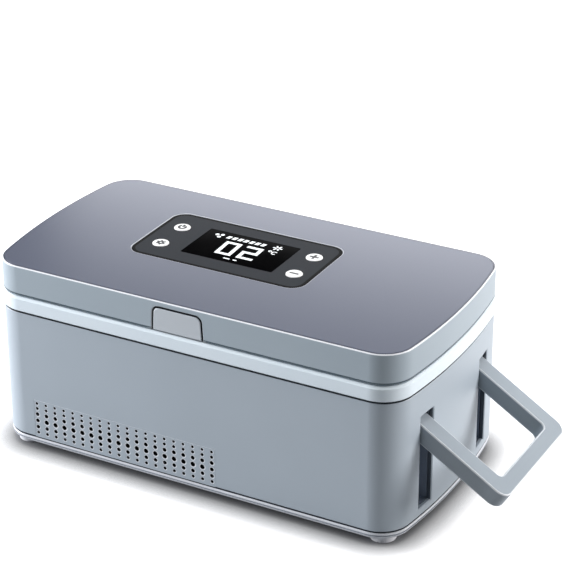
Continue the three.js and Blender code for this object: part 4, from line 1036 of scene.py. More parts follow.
band = level_skin(
    "rim_ring",
    case_outline,
    [
        (spigot_inner + OVER, band_top - DECK),
        (spigot_inner, band_top - DECK),
        (spigot_inner, band_low.z),
        (SPIGOT_INSET, band_low.z),
        (SPIGOT_INSET, band_bottom),
        (0, band_bottom),
        (-BAND_PROUD, band_bottom + BAND_PROUD),
        (-BAND_PROUD, band_top - BAND_BEVEL),
        (BAND_BEVEL - BAND_PROUD, band_top),
        (BAND_BEVEL - BAND_PROUD + OVER, band_top),
    ],
)


def hinge_rod(name, radius, edge, start, end, sides):
    """A rod along the hinge line with bevelled ends."""
    profile = [(radius - edge, start), (radius, start + edge), (radius, end - edge), (radius - edge, end)]
    return turned(name, profile, HINGE_LINE, "x", sides)


def knuckle(start, end, above):
    """One hinge knuckle with its web to the wall, above the hinge line or below it."""
    barrel = hinge_rod("knuckle", KNUCKLE_RADIUS, KNUCKLE_EDGE, start, end, KNUCKLE_SIDES)
    near, far = SEAT_ROOM, KNUCKLE_RADIUS - SEAT_ROOM
    low_z, high_z = (HINGE_Z + near, HINGE_Z + far) if above else (HINGE_Z - far, HINGE_Z - near)
    web = block("web", (start, HALF_DEPTH - WALL / 2, low_z), (end, HINGE_Y, high_z))
    carve(barrel, web, operation="UNION")
    return barrel


def pin_bores(over):
    """Cutters for the bores of both hinges, longer than the pins by an amount at each end."""
    radius = HINGE_PIN + PIN_ROOM
    bores = []
    for node in HINGE_NODES:
        low, high = corners(node)
        run = [(radius, low.x - over), (radius, high.x + over)]
        bores.append(turned("bore", run, HINGE_LINE, "x", SMALL_SIDES))
    return bores


knuckles = []
for node in HINGE_NODES:
    low, high = corners(node)
    knuckles.append(knuckle(low.x, low.x + KNUCKLE_END, above=False))
    knuckles.append(knuckle(high.x - KNUCKLE_END, high.x, above=False))
carve(band, *knuckles, operation="UNION")
latch_low, latch_high = corners("latch_button")
HOOK_WIDTH = 14
HOOK_FRONT = 4.2
STRIKE_ROOM = 0.7
LATCH_TRAVEL = 2.5
latch_x = (latch_low.x + latch_high.x) / 2
well_half = HOOK_WIDTH / 2 + STRIKE_ROOM
hook_well = block(
    "well",
    (latch_x - well_half, latch_low.y + HOOK_FRONT - STRIKE_ROOM, latch_low.z - STRIKE_ROOM),
    (latch_x + well_half, latch_high.y + LATCH_TRAVEL + STRIKE_ROOM, band_top + OVER),
)
mouth = level_skin("mouth", liner_outline, [(-LINER_ROOM, band_low.z), (-LINER_ROOM, band_top + OVER)])
flange_grow = -FLANGE_WIDTH - LINER_ROOM
rebate = level_skin(
    "rebate", liner_outline, [(flange_grow, flange_bottom - LINER_ROOM), (flange_grow, band_top + OVER)]
)
carve(band, mouth, rebate, hook_well, *pin_bores(OVER))


def gloss_abs(name, shade, light):
    """Polished ABS: pale and clean, with a smooth half gloss and a very faint flow in the colour."""
    material, tree, place = blank_material(name)
    flow = add_node(tree, "ShaderNodeTexNoise", {"Vector": place, "Scale": per(45), "Detail": 2})
    ripple = add_node(tree, "ShaderNodeTexNoise", {"Vector": place, "Scale": per(3), "Detail": 2})
    finish(
        tree,
        flow.outputs["Fac"],
        (shade, light),
        ripple.outputs["Fac"],
        roughness=(0.36, 0.46),
        relief=(0.05, 0.02),
        sockets={"IOR": 1.53},
    )
    return material


band_abs = gloss_abs("polished_abs_pale_blue", "#e3f1fa", "#eaf6fd")
# Painted shadow: the spigot below the band is coloured dark, as the shadow line in the joint.
mask_colour(band_abs, "#20252b", (UP, FLOOR, band_low.z - OVER, band_bottom - 2 * FACE_SKIN))
surface(band, band_abs)
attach(band, "case")
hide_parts("rim_band")


# Hinge pins: bright steel rods with bevelled ends, held in the rim's knuckles.
# The lid's middle knuckles turn on them.
PIN_END = 0.4
for node, name in zip(HINGE_NODES, ("hinge_rod_left", "hinge_rod_right")):
    low, high = corners(node)
    rod = hinge_rod(name, HINGE_PIN, PIN_END, low.x, high.x, SMALL_SIDES)
    surface(rod, steel)
    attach(rod, "case")
    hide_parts(node)


# Lid shell: the lid's side wall and floor in the body's ABS, with a rounded upper edge coloured pale as a
# painted highlight.
# A notch in its front takes the latch, and the middle knuckles of the hinges stand on its back.
# Its lowest edge, the joint round the top plate and the notch's walls are coloured dark, as painted shadows;
# the notch's outer chamfer is coloured pale, as a painted highlight.
lid_bottom = HINGE_Z
plate_low, plate_high = corners("lid_top_plate")
panel_low, panel_high = corners("control_panel")
LID_EDGE = 1.0
LID_FLOOR = 2.2
PLATE_INSET = 1.3
rim_top = panel_high.z
floor_top = plate_low.z - SEAT_ROOM
floor_bottom = floor_top - LID_FLOOR
lid = level_skin(
    "lid_cover",
    case_outline,
    [
        (WALL + OVER, floor_bottom),
        (WALL, floor_bottom),
        (WALL, lid_bottom),
        *arc(SHELL_ROUND, lid_bottom + SHELL_ROUND, SHELL_ROUND, 270, 180),
        *arc(LID_EDGE, rim_top - LID_EDGE, LID_EDGE, 180, 90),
        (PLATE_INSET, rim_top),
        (PLATE_INSET, floor_top),
        (PLATE_INSET + OVER, floor_top),
    ],
)
KNUCKLE_ROOM = 0.3
knuckles = []
for node in HINGE_NODES:
    low, high = corners(node)
    near = low.x + KNUCKLE_END + KNUCKLE_ROOM
    far = high.x - KNUCKLE_END - KNUCKLE_ROOM
    knuckles.append(knuckle(near, far, above=True))
carve(lid, *knuckles, operation="UNION")

LATCH_WIDTH = 27
LATCH_HEIGHT = 12.4
LATCH_FLARE = 0.5
LATCH_CORNER = 3.0
LATCH_STEPS = 8
LATCH_GAP = 0.6
LATCH_FACE = 2.4
NOTCH_CHAMFER = 0.7
NOTCH_HIGHLIGHT = 0.3


def latch_ring(grow, y, bottom):
    """The latch's outline on the front, a little wider at its foot, with round upper corners."""
    top = lid_bottom + LATCH_HEIGHT + grow
    half_width = LATCH_WIDTH / 2 + grow
    foot = half_width + LATCH_FLARE
    corner = LATCH_CORNER + grow
    outline = [(-foot, bottom), (foot, bottom)]
    outline += arc(half_width - corner, top - corner, corner, 0, 90, LATCH_STEPS)
    outline += arc(corner - half_width, top - corner, corner, 90, 180, LATCH_STEPS)
    return [(latch_x + x, y, z) for x, z in outline]


below = lid_bottom - OVER
latch_back = LATCH_FACE + LATCH_TRAVEL + SEAT_ROOM - HALF_DEPTH
notch = skin(
    "notch",
    [
        latch_ring(LATCH_GAP + 2 * NOTCH_CHAMFER, -HALF_DEPTH - NOTCH_CHAMFER, below),
        latch_ring(LATCH_GAP, NOTCH_CHAMFER - HALF_DEPTH, below),
        latch_ring(LATCH_GAP, latch_back, below),
    ],
)
module_middle, module_half = middle_and_half("display_module")
module_outline = rounded_rect(
    2 * (module_half.x + SEAT_ROOM),
    2 * (module_half.y + SEAT_ROOM),
    OVER,
    module_middle.x,
    module_middle.y,
)
wells = [level_skin("well", module_outline, [(0, floor_bottom - OVER), (0, rim_top)])]
KEY_NODES = ("key_power", "key_set", "key_plus", "key_minus")
for node in KEY_NODES:
    middle, half = middle_and_half(node)
    radius = half.x + SEAT_ROOM
    run = [(radius, floor_bottom - OVER), (radius, rim_top)]
    wells.append(turned("well", run, (middle.x, middle.y, 0)))
carve(lid, notch, *wells, *pin_bores(-KNUCKLE_END))

lid_abs = moulded_abs("satin_abs_lid_grey", "#9dabb5", "#a7b5be", 0.38)
JOINT_LINE = 1.1
PLATE_JOINT = 0.06
PAINTED_HIGHLIGHT = 0.55
# Painted highlight along the upper edge, and painted shadow in the joint round the top plate and along the
# lowest edge.
mask_colour(lid_abs, "#eef1f6", (UP, FLOOR, rim_top - PAINTED_HIGHLIGHT, rim_top - PLATE_JOINT))
mask_colour(lid_abs, "#4c5260", (UP, FLOOR, rim_top - PLATE_JOINT, rim_top + OVER))
mask_colour(
    lid_abs,
    "#263f4c",
    (UP, FLOOR, lid_bottom, lid_bottom + JOINT_LINE),
    (INWARD, row_place(0, 0, 0), -OVER, HALF_DEPTH + JOINT_LINE),
)
round_latch = [
    ((1, 0, 0), row_place(latch_x, 0, 0), -OVER, LATCH_WIDTH / 2 + 3 * OVER),
    (UP, FLOOR, lid_bottom - OVER, lid_bottom + LATCH_HEIGHT + 2 * OVER),
]
notch_end = LATCH_FACE + LATCH_TRAVEL + OVER
# Painted highlight on the notch's outer chamfer, and painted shadow on the notch's walls.
mask_colour(lid_abs, "#d3dae0", (INWARD, FRONT, 3 * FACE_SKIN, NOTCH_HIGHLIGHT), *round_latch)
mask_colour(lid_abs, "#23292f", (INWARD, FRONT, NOTCH_HIGHLIGHT, notch_end), *round_latch)
surface(lid, lid_abs)
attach(lid, "lid")
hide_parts("lid_shell")


# Top plate: a flat plate lacquered in slate with a fine metallic flake, bonded into the lid.
# The edge of its window for the panel is cut at a slant, and is coloured pale as a painted highlight.
panel_middle, panel_half = middle_and_half("control_panel")
PANEL_CORNER = 8.0
PLATE_ROOM = 0.15
WINDOW_CHAMFER = 0.2
PLATE_CHAMFER = 0.15
# The painted highlight round the panel's window fades out between these two distances.
PAINTED_HIGHLIGHT_FULL = 0.5  # the bright edge is full up to here from the panel, and gone by the next
PAINTED_HIGHLIGHT_GONE = 0.62
plate_inset = PLATE_INSET + PLATE_ROOM
plate = level_skin(
    "top_plate",
    case_outline,
    [
        (plate_inset, plate_low.z),
        (plate_inset, plate_high.z - PLATE_CHAMFER),
        (plate_inset + PLATE_CHAMFER, plate_high.z),
    ],
)
panel_outline = rounded_rect(
    2 * panel_half.x, 2 * panel_half.y, PANEL_CORNER, panel_middle.x, panel_middle.y
)
carve(
    plate,
    level_skin(
        "window",
        panel_outline,
        [
            (-PLATE_ROOM, plate_low.z - OVER),
            (-PLATE_ROOM, plate_high.z - WINDOW_CHAMFER),
            (-PLATE_ROOM - 2 * WINDOW_CHAMFER, plate_high.z + WINDOW_CHAMFER),
        ],
    ),
)


def panel_distance(tree, place):
    """How far a place lies outside the panel's rounded outline, in metres, as a node's output."""
    middle = row_place(panel_middle.x, panel_middle.y, 0)
    core = ((panel_half.x - PANEL_CORNER) * MM, (panel_half.y - PANEL_CORNER) * MM, 0)
    radius = PANEL_CORNER * MM
    away = add_node(tree, "ShaderNodeVectorMath", {0: place, 1: middle}, operation="SUBTRACT").outputs[0]
    level = add_node(tree, "ShaderNodeVectorMath", {0: away, 1: (1, 1, 0)}, operation="MULTIPLY").outputs[0]
    size = add_node(tree, "ShaderNodeVectorMath", {0: level}, operation="ABSOLUTE").outputs[0]
    past = add_node(tree, "ShaderNodeVectorMath", {0: size, 1: core}, operation="SUBTRACT").outputs[0]
    corner = add_node(tree, "ShaderNodeVectorMath", {0: past, 1: (0, 0, 0)}, operation="MAXIMUM").outputs[0]
    reach = add_node(tree, "ShaderNodeVectorMath", {0: corner}, operation="LENGTH").outputs["Value"]
    return add_node(tree, "ShaderNodeMath", {0: reach, 1: radius}, operation="SUBTRACT").outputs[0]


def flake_lacquer(name):
    """Metallic lacquer over ABS: slate, with a sheen that lifts at a low angle and a fine flake.
    The flake is really about 0.05 mm, and is drawn at 0.5 mm so that it shows at all."""
    material, tree, place = blank_material(name)
    flakes = add_node(tree, "ShaderNodeTexNoise", {"Vector": place, "Scale": per(0.5), "Detail": 2})
    flake = flakes.outputs["Fac"]
    cloud = add_node(tree, "ShaderNodeTexNoise", {"Vector": place, "Scale": per(90), "Detail": 2})
    mottle = add_node(tree, "ShaderNodeMath", {0: flake, 1: cloud.outputs["Fac"]}, operation="MULTIPLY")
    finish(
        tree,
        mottle.outputs[0],
        ("#5f6576", "#6d7283"),
        flake,
        roughness=(0.26, 0.34),
        relief=(0.1, 0.01),
        sockets={"IOR": 1.45, "Metallic": 0.15},
    )
    # Painted highlight: a pale band along the edge of the panel's window.
    away = panel_distance(tree, place)
    edge = {"Value": away, "From Min": PAINTED_HIGHLIGHT_GONE * MM, "From Max": PAINTED_HIGHLIGHT_FULL * MM}
    paint_over(tree, add_node(tree, "ShaderNodeMapRange", edge).outputs["Result"], "#c4c8d1")
    return material


surface(plate, flake_lacquer("metallic_lacquer_slate"))
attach(plate, "lid")
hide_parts("lid_top_plate")


# Control panel: a dark grey acrylic plate set into the top plate, with a black border printed on it.
# It has a window for the display and four round holes for the keys.
PANEL_EDGE = 0.2
BORDER = 1.8
BORDER_BLUR = 0.1
KEY_HOLE = 4.65
WINDOW_CORNER = 0.7
window_middle, window_half = middle_and_half("display_window")
panel = level_skin(
    "panel_plate",
    panel_outline,
    [
        (0, panel_low.z),
        (0, panel_high.z - PANEL_EDGE),
        *arc(PANEL_EDGE, panel_high.z - PANEL_EDGE, PANEL_EDGE, 180, 90, steps=3)[1:],
    ],
)
window_outline = rounded_rect(
    2 * window_half.x, 2 * window_half.y, WINDOW_CORNER, window_middle.x, window_middle.y, steps=5
)
under, above = panel_low.z - OVER, panel_high.z + OVER
openings = [level_skin("window", window_outline, [(-PLATE_ROOM, under), (-PLATE_ROOM, above)])]
for node in KEY_NODES:
    middle = middle_and_half(node)[0]
    openings.append(turned("hole", [(KEY_HOLE, under), (KEY_HOLE, above)], (middle.x, middle.y, 0)))
carve(panel, *openings)


def printed_acrylic(name):
    """Acrylic printed from behind: smooth and dark, with a black border and a slight cloud in the ink."""
    material, tree, place = blank_material(name)
    cloud = add_node(tree, "ShaderNodeTexNoise", {"Vector": place, "Scale": per(25), "Detail": 3})
    ink = cloud.outputs["Fac"]
    finish(
        tree,
        ink,
        ("#2d3035", "#33363b"),
        ink,
        roughness=(0.4, 0.48),
        relief=(0.1, 0.02),
        sockets={"IOR": 1.49, "Specular IOR Level": 0.03},
    )
    away = panel_distance(tree, place)
    border = {"Value": away, "From Min": -(BORDER + BORDER_BLUR) * MM, "From Max": -BORDER * MM}
    paint_over(tree, add_node(tree, "ShaderNodeMapRange", border).outputs["Result"], "#040506")
    return material


surface(panel, printed_acrylic("printed_acrylic_dark_grey"))
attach(panel, "lid")
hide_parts("control_panel")


# Display: a black polycarbonate window, bonded into the panel, that a liquid crystal shines through.
# Its white figures and marks are thin inlays on the window's face. The figures are plain numbers,
# and the marks are a fan, level bars, a cold mark, a degree mark and two dashes.
def black_window(name):
    """Hard-coated polycarbonate: deep black, smooth, with a faint cloud in its gloss."""
    material, tree, place = blank_material(name)
    cloud = add_node(tree, "ShaderNodeTexNoise", {"Vector": place, "Scale": per(12), "Detail": 2})
    haze = cloud.outputs["Fac"]
    finish(
        tree,
        haze,
        ("#020203", "#060607"),
        haze,
        roughness=(0.07, 0.13),
        relief=(0.1, 0.01),
        sockets={"IOR": 1.58, "Specular IOR Level": 0.004},
    )
    return material


window_low, window_high = corners("display_window")
glass = level_skin(
    "display_cover",
    window_outline,
    [(0, window_low.z), (0, window_high.z - PANEL_EDGE / 2), (PANEL_EDGE / 2, window_high.z)],
)
surface(glass, black_window("polycarbonate_black"))
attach(glass, "lid")
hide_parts("display_window")


def inlay(name, outlines, bottom, height):
    """Flat marks of a small height, from outlines in plan."""
    points, faces = [], []
    for outline in outlines:
        start, count = len(points), len(outline)
        points += [(x, y, z) for z in (bottom, bottom + height) for x, y in outline]
        faces.append(range(start, start + count))
        faces.append(range(start + count, start + 2 * count))
        for i in range(count):
            j = (i + 1) % count
            faces.append((start + i, start + j, start + count + j, start + count + i))
    return new_piece(name, points, faces)


def bar(x0, y0, x1, y1, width):
    """The outline of a straight bar between two points, with square ends."""
    along = Vector((x1 - x0, y1 - y0)).normalized() * width / 2
    side = Vector((-along.y, along.x))
    start, end = Vector((x0, y0)), Vector((x1, y1))
    return [tuple(point) for point in (start + side, start - side, end - side, end + side)]


def band_outline(x, y, outer, inner, start, end, steps=16):
    """The outline of part of a ring."""
    return arc(x, y, outer, start, end, steps) + arc(x, y, inner, end, start, steps)


FIGURE_WIDTH = 7.3
FIGURE_HEIGHT = 13.1
FIGURE_STROKE = 2.1
FIGURE_LEAN = -0.05
FIGURES = {"0": "abcdef", "2": "abged"}


def figure(sign, x, y):
    """The lit segments of one figure, from its lower left corner."""
    w, h, g = FIGURE_WIDTH, FIGURE_HEIGHT, FIGURE_STROKE / 2
    middle = g if "g" in FIGURES[sign] else 0
    segments = {
        "a": (-g, h, w + g, h),
        "b": (w, h - g, w, h / 2 + middle),
        "c": (w, h / 2 - middle, w, g),
        "d": (-g, 0, w + g, 0),
        "e": (0, h / 2 - middle, 0, g),
        "f": (0, h - g, 0, h / 2 + middle),
        "g": (-g, h / 2, w + g, h / 2),
    }
    strokes = [bar(*segments[key], FIGURE_STROKE) for key in FIGURES[sign]]
    return [[(x + dx + FIGURE_LEAN * dy, y + dy) for dx, dy in stroke] for stroke in strokes]


MARK_HEIGHT = 0.04
FIGURE_PLACES = (("0", -9.8), ("2", 2.9))
FIGURE_FOOT = -8.0
marks = []
for sign, x in FIGURE_PLACES:
    marks += figure(sign, window_middle.x + x, window_middle.y + FIGURE_FOOT)

MARK_ROW = 10.6
FAN_PLACE = -18.6
BLADE_OUT = 1.7
BLADE_RADIUS = 1.1
BLADE_TURNS = (45, 165, 285)
mark_y = window_middle.y + MARK_ROW
for turn in BLADE_TURNS:
    blade = arc(window_middle.x + FAN_PLACE, mark_y, BLADE_OUT, turn, turn, steps=1)[0]
    marks.append(arc(*blade, BLADE_RADIUS, 0, 360, steps=12)[:-1])

BARS = 7
BAR_START = -14.2
BAR_PITCH = 3.4
BAR_WIDTH = 2.2
BAR_LEAN = 0.7
BAR_HALF = 1.5
for i in range(BARS):
    x = window_middle.x + BAR_START + BAR_PITCH * i
    foot = [(x, mark_y - BAR_HALF), (x + BAR_WIDTH, mark_y - BAR_HALF)]
    head = [(x + BAR_WIDTH + BAR_LEAN, mark_y + BAR_HALF), (x + BAR_LEAN, mark_y + BAR_HALF)]
    marks.append(foot + head)

COLD_PLACE = 16.0
COLD_ARM = (0.7, 2.7)
COLD_STROKE = 0.9
COLD_TURNS = range(0, 360, 60)
cold_x = window_middle.x + COLD_PLACE
for turn in COLD_TURNS:
    ends = [arc(cold_x, mark_y, radius, turn, turn, steps=1)[0] for radius in COLD_ARM]
    marks.append(bar(*ends[0], *ends[1], COLD_STROKE))

DEGREE_PLACE = (14.2, 5.8)
DEGREE_RING = (1.0, 0.5)
SCALE_PLACE = (17.3, 4.6)
SCALE_RING = (1.8, 1.1)
SCALE_SWEEP = (50, 310)
degree_x, degree_y = window_middle.x + DEGREE_PLACE[0], window_middle.y + DEGREE_PLACE[1]
marks += [
    band_outline(degree_x, degree_y, *DEGREE_RING, start, start + 180, steps=10)
    for start in (0, 180)
]
scale_x, scale_y = window_middle.x + SCALE_PLACE[0], window_middle.y + SCALE_PLACE[1]
marks.append(band_outline(scale_x, scale_y, *SCALE_RING, *SCALE_SWEEP))

DASH_ROW = -12.4
DASH_STROKE = 1.0
DASHES = ((-1.4, 1.8), (3.4, 1.1))
dash_y = window_middle.y + DASH_ROW
for x, half_dash in DASHES:
    dash_x = window_middle.x + x
    marks.append(bar(dash_x - half_dash, dash_y, dash_x + half_dash, dash_y, DASH_STROKE))
display_marks = inlay("display_marks", marks, window_high.z, MARK_HEIGHT)


def lit_crystal(name):
    """Back-lit liquid crystal: an even cool white that glows slightly, a little uneven over 6 mm."""
    material, tree, place = blank_material(name)
    cloud = add_node(tree, "ShaderNodeTexNoise", {"Vector": place, "Scale": per(6)}).outputs["Fac"]
    finish(
        tree,
        cloud,
        ("#e6eef2", "#f7fbfc"),
        cloud,
        roughness=(0.36, 0.44),
        relief=(0.05, 0.01),
        sockets={"Emission Color": linear("#eff5f7"), "Emission Strength": 0.25},
    )
    return material


surface(display_marks, lit_crystal("lit_liquid_crystal"))
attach(display_marks, "lid")


# Keys: four round caps of white ABS, each with a stem below and a dark sign printed on its face.
# The signs are power and set on the left, plus and minus on the right.
KEY_ROUND = 0.35
KEY_RADIUS = 4.4
KEY_FLANGE = 1.0
KEY_STEM = 2.2
KEY_STEM_HEIGHT = 0.9
white_abs = moulded_abs("satin_abs_white", "#f4f5f6", "#fafbfb", 0.38)
key_ink = moulded_abs("printed_ink_dark_grey", "#2e3135", "#383b40", 0.5)
SIGN = 2.5
SIGN_STROKE = 1.3
POWER_SWEEP = (125, 415)
POWER_STEM = (0.4, 3.0)
GEAR_TEETH = 6
GEAR_HUB = 0.65
GEAR_ROOT = 1.9
GEAR_TIP = 2.7
ROOT_SWEEP = (0, 25)
TIP_SWEEP = (32, 53)


def key_sign(node):
    """The outlines of a key's sign, about the key's middle."""
    stroke = SIGN_STROKE / 2
    if node == "key_power":
        ring = band_outline(0, 0, SIGN, SIGN - SIGN_STROKE, *POWER_SWEEP, steps=24)
        foot, head = POWER_STEM
        return [ring, [(-stroke, foot), (stroke, foot), (stroke, head), (-stroke, head)]]
    if node == "key_set":
        halves = []
        for side in (0, 180):
            rim = []
            for i in range(GEAR_TEETH // 2):
                tooth = side + i * 360 / GEAR_TEETH
                for radius, sweep in ((GEAR_ROOT, ROOT_SWEEP), (GEAR_TIP, TIP_SWEEP)):
                    rim += arc(0, 0, radius, tooth + sweep[0], tooth + sweep[1], steps=3)
            rim += arc(0, 0, GEAR_ROOT, side + 180, side + 180, steps=1)[:1]
            halves.append(rim + arc(0, 0, GEAR_HUB, side + 180, side, steps=10))
        return halves
    flat = [(-SIGN, -stroke), (SIGN, -stroke), (SIGN, stroke), (-SIGN, stroke)]
    if node == "key_minus":
        return [flat]
    upper = [(stroke, stroke), (stroke, SIGN), (-stroke, SIGN), (-stroke, stroke)]
    return [flat, upper, [(-x, -y) for x, y in upper]]


for node in KEY_NODES:
    body_name = node.split("_")[1] + "_key"
    key_low, key_high = corners(node)
    middle, half = middle_and_half(node)
    flange = half.x
    stem_top = key_low.z + KEY_STEM_HEIGHT
    cap = turned(
        body_name + "_cap",
        [
            (KEY_STEM, key_low.z),
            (KEY_STEM, stem_top),
            (flange, stem_top),
            (flange, stem_top + KEY_FLANGE),
            (KEY_RADIUS, stem_top + KEY_FLANGE),
            *arc(KEY_RADIUS - KEY_ROUND, key_high.z - KEY_ROUND, KEY_ROUND, 0, 90),
            (KEY_RADIUS - 2 * KEY_ROUND, key_high.z),
        ],
        (middle.x, middle.y, 0),
    )
    surface(cap, white_abs)
    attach(cap, body_name)
    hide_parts(node)
    outlines = [[(middle.x + x, middle.y + y) for x, y in outline] for outline in key_sign(node)]
    sign = inlay(body_name + "_sign", outlines, key_high.z, MARK_HEIGHT)
    surface(sign, key_ink)
    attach(sign, body_name)


# Lid liner: the white plate that closes the lid from below, with the plug for the chamber's mouth.
# A grey silicone ring sits in its groove, and four screws hold it to posts in the lid.
inner_low, inner_high = corners("lid_liner")
gasket_low, gasket_high = corners("lid_gasket")
LINER_PLATE = 2.2
LINER_EDGE = 0.4
PLUG_ROUND = 2.0
PLUG_ROOM = 3.2
PLUG_WALL = 1.6
GASKET_WIDTH = 3.6
GASKET_ROOM = 0.15
plate_bottom = inner_high.z - LINER_PLATE
lid_liner = level_skin(
    "lid_inner_plate",
    case_outline,
    [
        *arc(SPIGOT_INSET + LINER_EDGE, plate_bottom + LINER_EDGE, LINER_EDGE, 270, 180),
        (SPIGOT_INSET, inner_high.z),
    ],
)


def plug_profile(inset, bottom, top):
    """A plug with a round lower edge, drawn in from the liner's wall."""
    return [
        (inset + PLUG_ROUND + OVER, bottom),
        *arc(inset + PLUG_ROUND, bottom + PLUG_ROUND, PLUG_ROUND, 270, 180),
        (inset, top),
    ]


plug = level_skin("plug", liner_outline, plug_profile(PLUG_ROOM, inner_low.z, plate_bottom + LINER_PLATE / 2))
carve(lid_liner, plug, operation="UNION")
hollow = level_skin(
    "hollow",
    liner_outline,
    plug_profile(PLUG_ROOM + PLUG_WALL, inner_low.z + PLUG_WALL, inner_high.z + OVER),
)
GASKET_CORNER = 18.6
gasket_size = gasket_high - gasket_low
gasket_outline = rounded_rect(gasket_size.x, gasket_size.y, GASKET_CORNER)
groove_top = gasket_high.z + GASKET_ROOM
groove = level_skin(
    "groove",
    gasket_outline,
    [
        (-GASKET_ROOM, plate_bottom - OVER),
        (-GASKET_ROOM, groove_top),
        (GASKET_WIDTH + GASKET_ROOM, groove_top),
        (GASKET_WIDTH + GASKET_ROOM, plate_bottom - OVER),
    ],
    closed=True,
)
room_half = LATCH_WIDTH / 2 + 2 * LATCH_GAP + LATCH_FLARE
latch_room = block(
    "latch_room",
    (latch_x - room_half, -HALF_DEPTH, plate_bottom - OVER),
    (latch_x + room_half, latch_high.y + LATCH_TRAVEL + STRIKE_ROOM, inner_high.z + OVER),
)
LID_SCREW_NODES = ("lid_screw_1", "lid_screw_2", "lid_screw_3", "lid_screw_4")
seats = []
for node in LID_SCREW_NODES:
    low = corners(node)[0]
    middle, half = middle_and_half(node)
    place = (middle.x, middle.y, 0)
    radius = half.x + SEAT_ROOM
    bore = SCREW_RADIUS + SEAT_ROOM
    seats.append(turned("seat", [(radius, low.z - OVER), (radius, low.z + SCREW_HEAD + SEAT_ROOM)], place))
    seats.append(turned("bore", [(bore, low.z), (bore, inner_high.z + OVER)], place, sides=SMALL_SIDES))
carve(lid_liner, hollow, groove, latch_room, *seats)
surface(lid_liner, gloss_abs("polished_abs_white", "#eff1f0", "#f6f7f6"))
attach(lid_liner, "lid")
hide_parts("lid_liner")

GASKET_ROUND = 0.5
gasket = level_skin(
    "lid_seal",
    gasket_outline,
    [
        *arc(GASKET_ROUND, gasket_low.z + GASKET_ROUND, GASKET_ROUND, 270, 180),
        (0, gasket_high.z),
        (GASKET_WIDTH, gasket_high.z),
        *arc(GASKET_WIDTH - GASKET_ROUND, gasket_low.z + GASKET_ROUND, GASKET_ROUND, 360, 270),
    ],
    closed=True,
)
surface(gasket, silicone("silicone_grey", "#595e66", "#5d636b"))
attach(gasket, "lid")
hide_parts("lid_gasket")

lid_screws = screw("lid_screws", LID_SCREW_NODES[0])
surface(lid_screws, steel)
set_of_four(lid_screws, LID_SCREW_NODES, steel)
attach(lid_screws, "lid")


# Latch: a push button in the lid's front, with a guide block, ears and a hook behind its face.
# A small steel coil behind the block pushes it out again.
LATCH_ROUND = 0.6
BLOCK_WIDTH = 20
HOOK = 1.8
HOOK_NOSE = 1.4
block_bottom = inner_high.z + SEAT_ROOM
block_top = lid_bottom + LATCH_HEIGHT - LATCH_CORNER
face_back = LATCH_FACE - HALF_DEPTH
face_rings = [
    latch_ring(-inset, y, lid_bottom + inset)
    for inset, y in arc(LATCH_ROUND, LATCH_ROUND - HALF_DEPTH, LATCH_ROUND, 270, 180)
]
face_rings.append(latch_ring(0, face_back, lid_bottom))
latch = skin("latch_key", face_rings)
EAR = 1.4
back = latch_high.y
nose_front = back - HOOK - HOOK_NOSE
nose_top = latch_low.z + HOOK
nose_side = [
    (back - HOOK / 2, nose_top),
    (nose_front, nose_top),
    (back - HOOK, latch_low.z),
    (back - HOOK / 2, latch_low.z),
]
hook_left, hook_right = latch_x - HOOK_WIDTH / 2, latch_x + HOOK_WIDTH / 2
nose = skin("nose", [[(x, y, z) for y, z in nose_side] for x in (hook_left, hook_right)])
guide = block(
    "guide",
    (latch_x - BLOCK_WIDTH / 2, face_back - OVER, block_bottom),
    (latch_x + BLOCK_WIDTH / 2, back, block_top),
)
ears = block(
    "ears",
    (latch_low.x, face_back + SEAT_ROOM, block_bottom),
    (latch_high.x, face_back + SEAT_ROOM + EAR, block_top),
)
hook = block("hook", (hook_left, back - HOOK, latch_low.z), (hook_right, back, block_top))
carve(latch, guide, ears, hook, nose, operation="UNION")
latch_abs = moulded_abs("satin_abs_latch_grey", "#bec6cd", "#c6ced4", 0.36)
# Painted shade: the button's sides behind its rounded front are coloured dark, as the shade in the gap round
# it.
mask_colour(latch_abs, "#23292f", (INWARD, FRONT, LATCH_ROUND / 2, LATCH_FACE))
surface(latch, latch_abs)
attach(latch, "latch")
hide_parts("latch_button")

SPRING_WIRE = 0.3
SPRING_TURNS = 3
TURN_STEPS = 24
WIRE_SIDES = 8
spring_low, spring_high = corners("latch_spring")
spring_place, spring_half = middle_and_half("latch_spring")
spring_radius = spring_half.x - SPRING_WIRE
spring_length = spring_high.y - spring_low.y
rise = (spring_length - 2 * SPRING_WIRE) / (SPRING_TURNS * TURN_STEPS)
wire_section = arc(spring_radius, spring_low.y + SPRING_WIRE, SPRING_WIRE, 0, 360, WIRE_SIDES)[:-1]
wire_rings = []
for i in range(SPRING_TURNS * TURN_STEPS + 1):
    turn = 2 * math.pi * i / TURN_STEPS
    across, up = math.cos(turn), math.sin(turn)
    wire_rings.append([
        (spring_place.x + out * across, y + rise * i, spring_place.z + out * up)
        for out, y in wire_section
    ])
spring = skin("latch_coil", wire_rings)
surface(spring, steel)
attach(spring, "lid")
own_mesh(spring)
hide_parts("latch_spring")


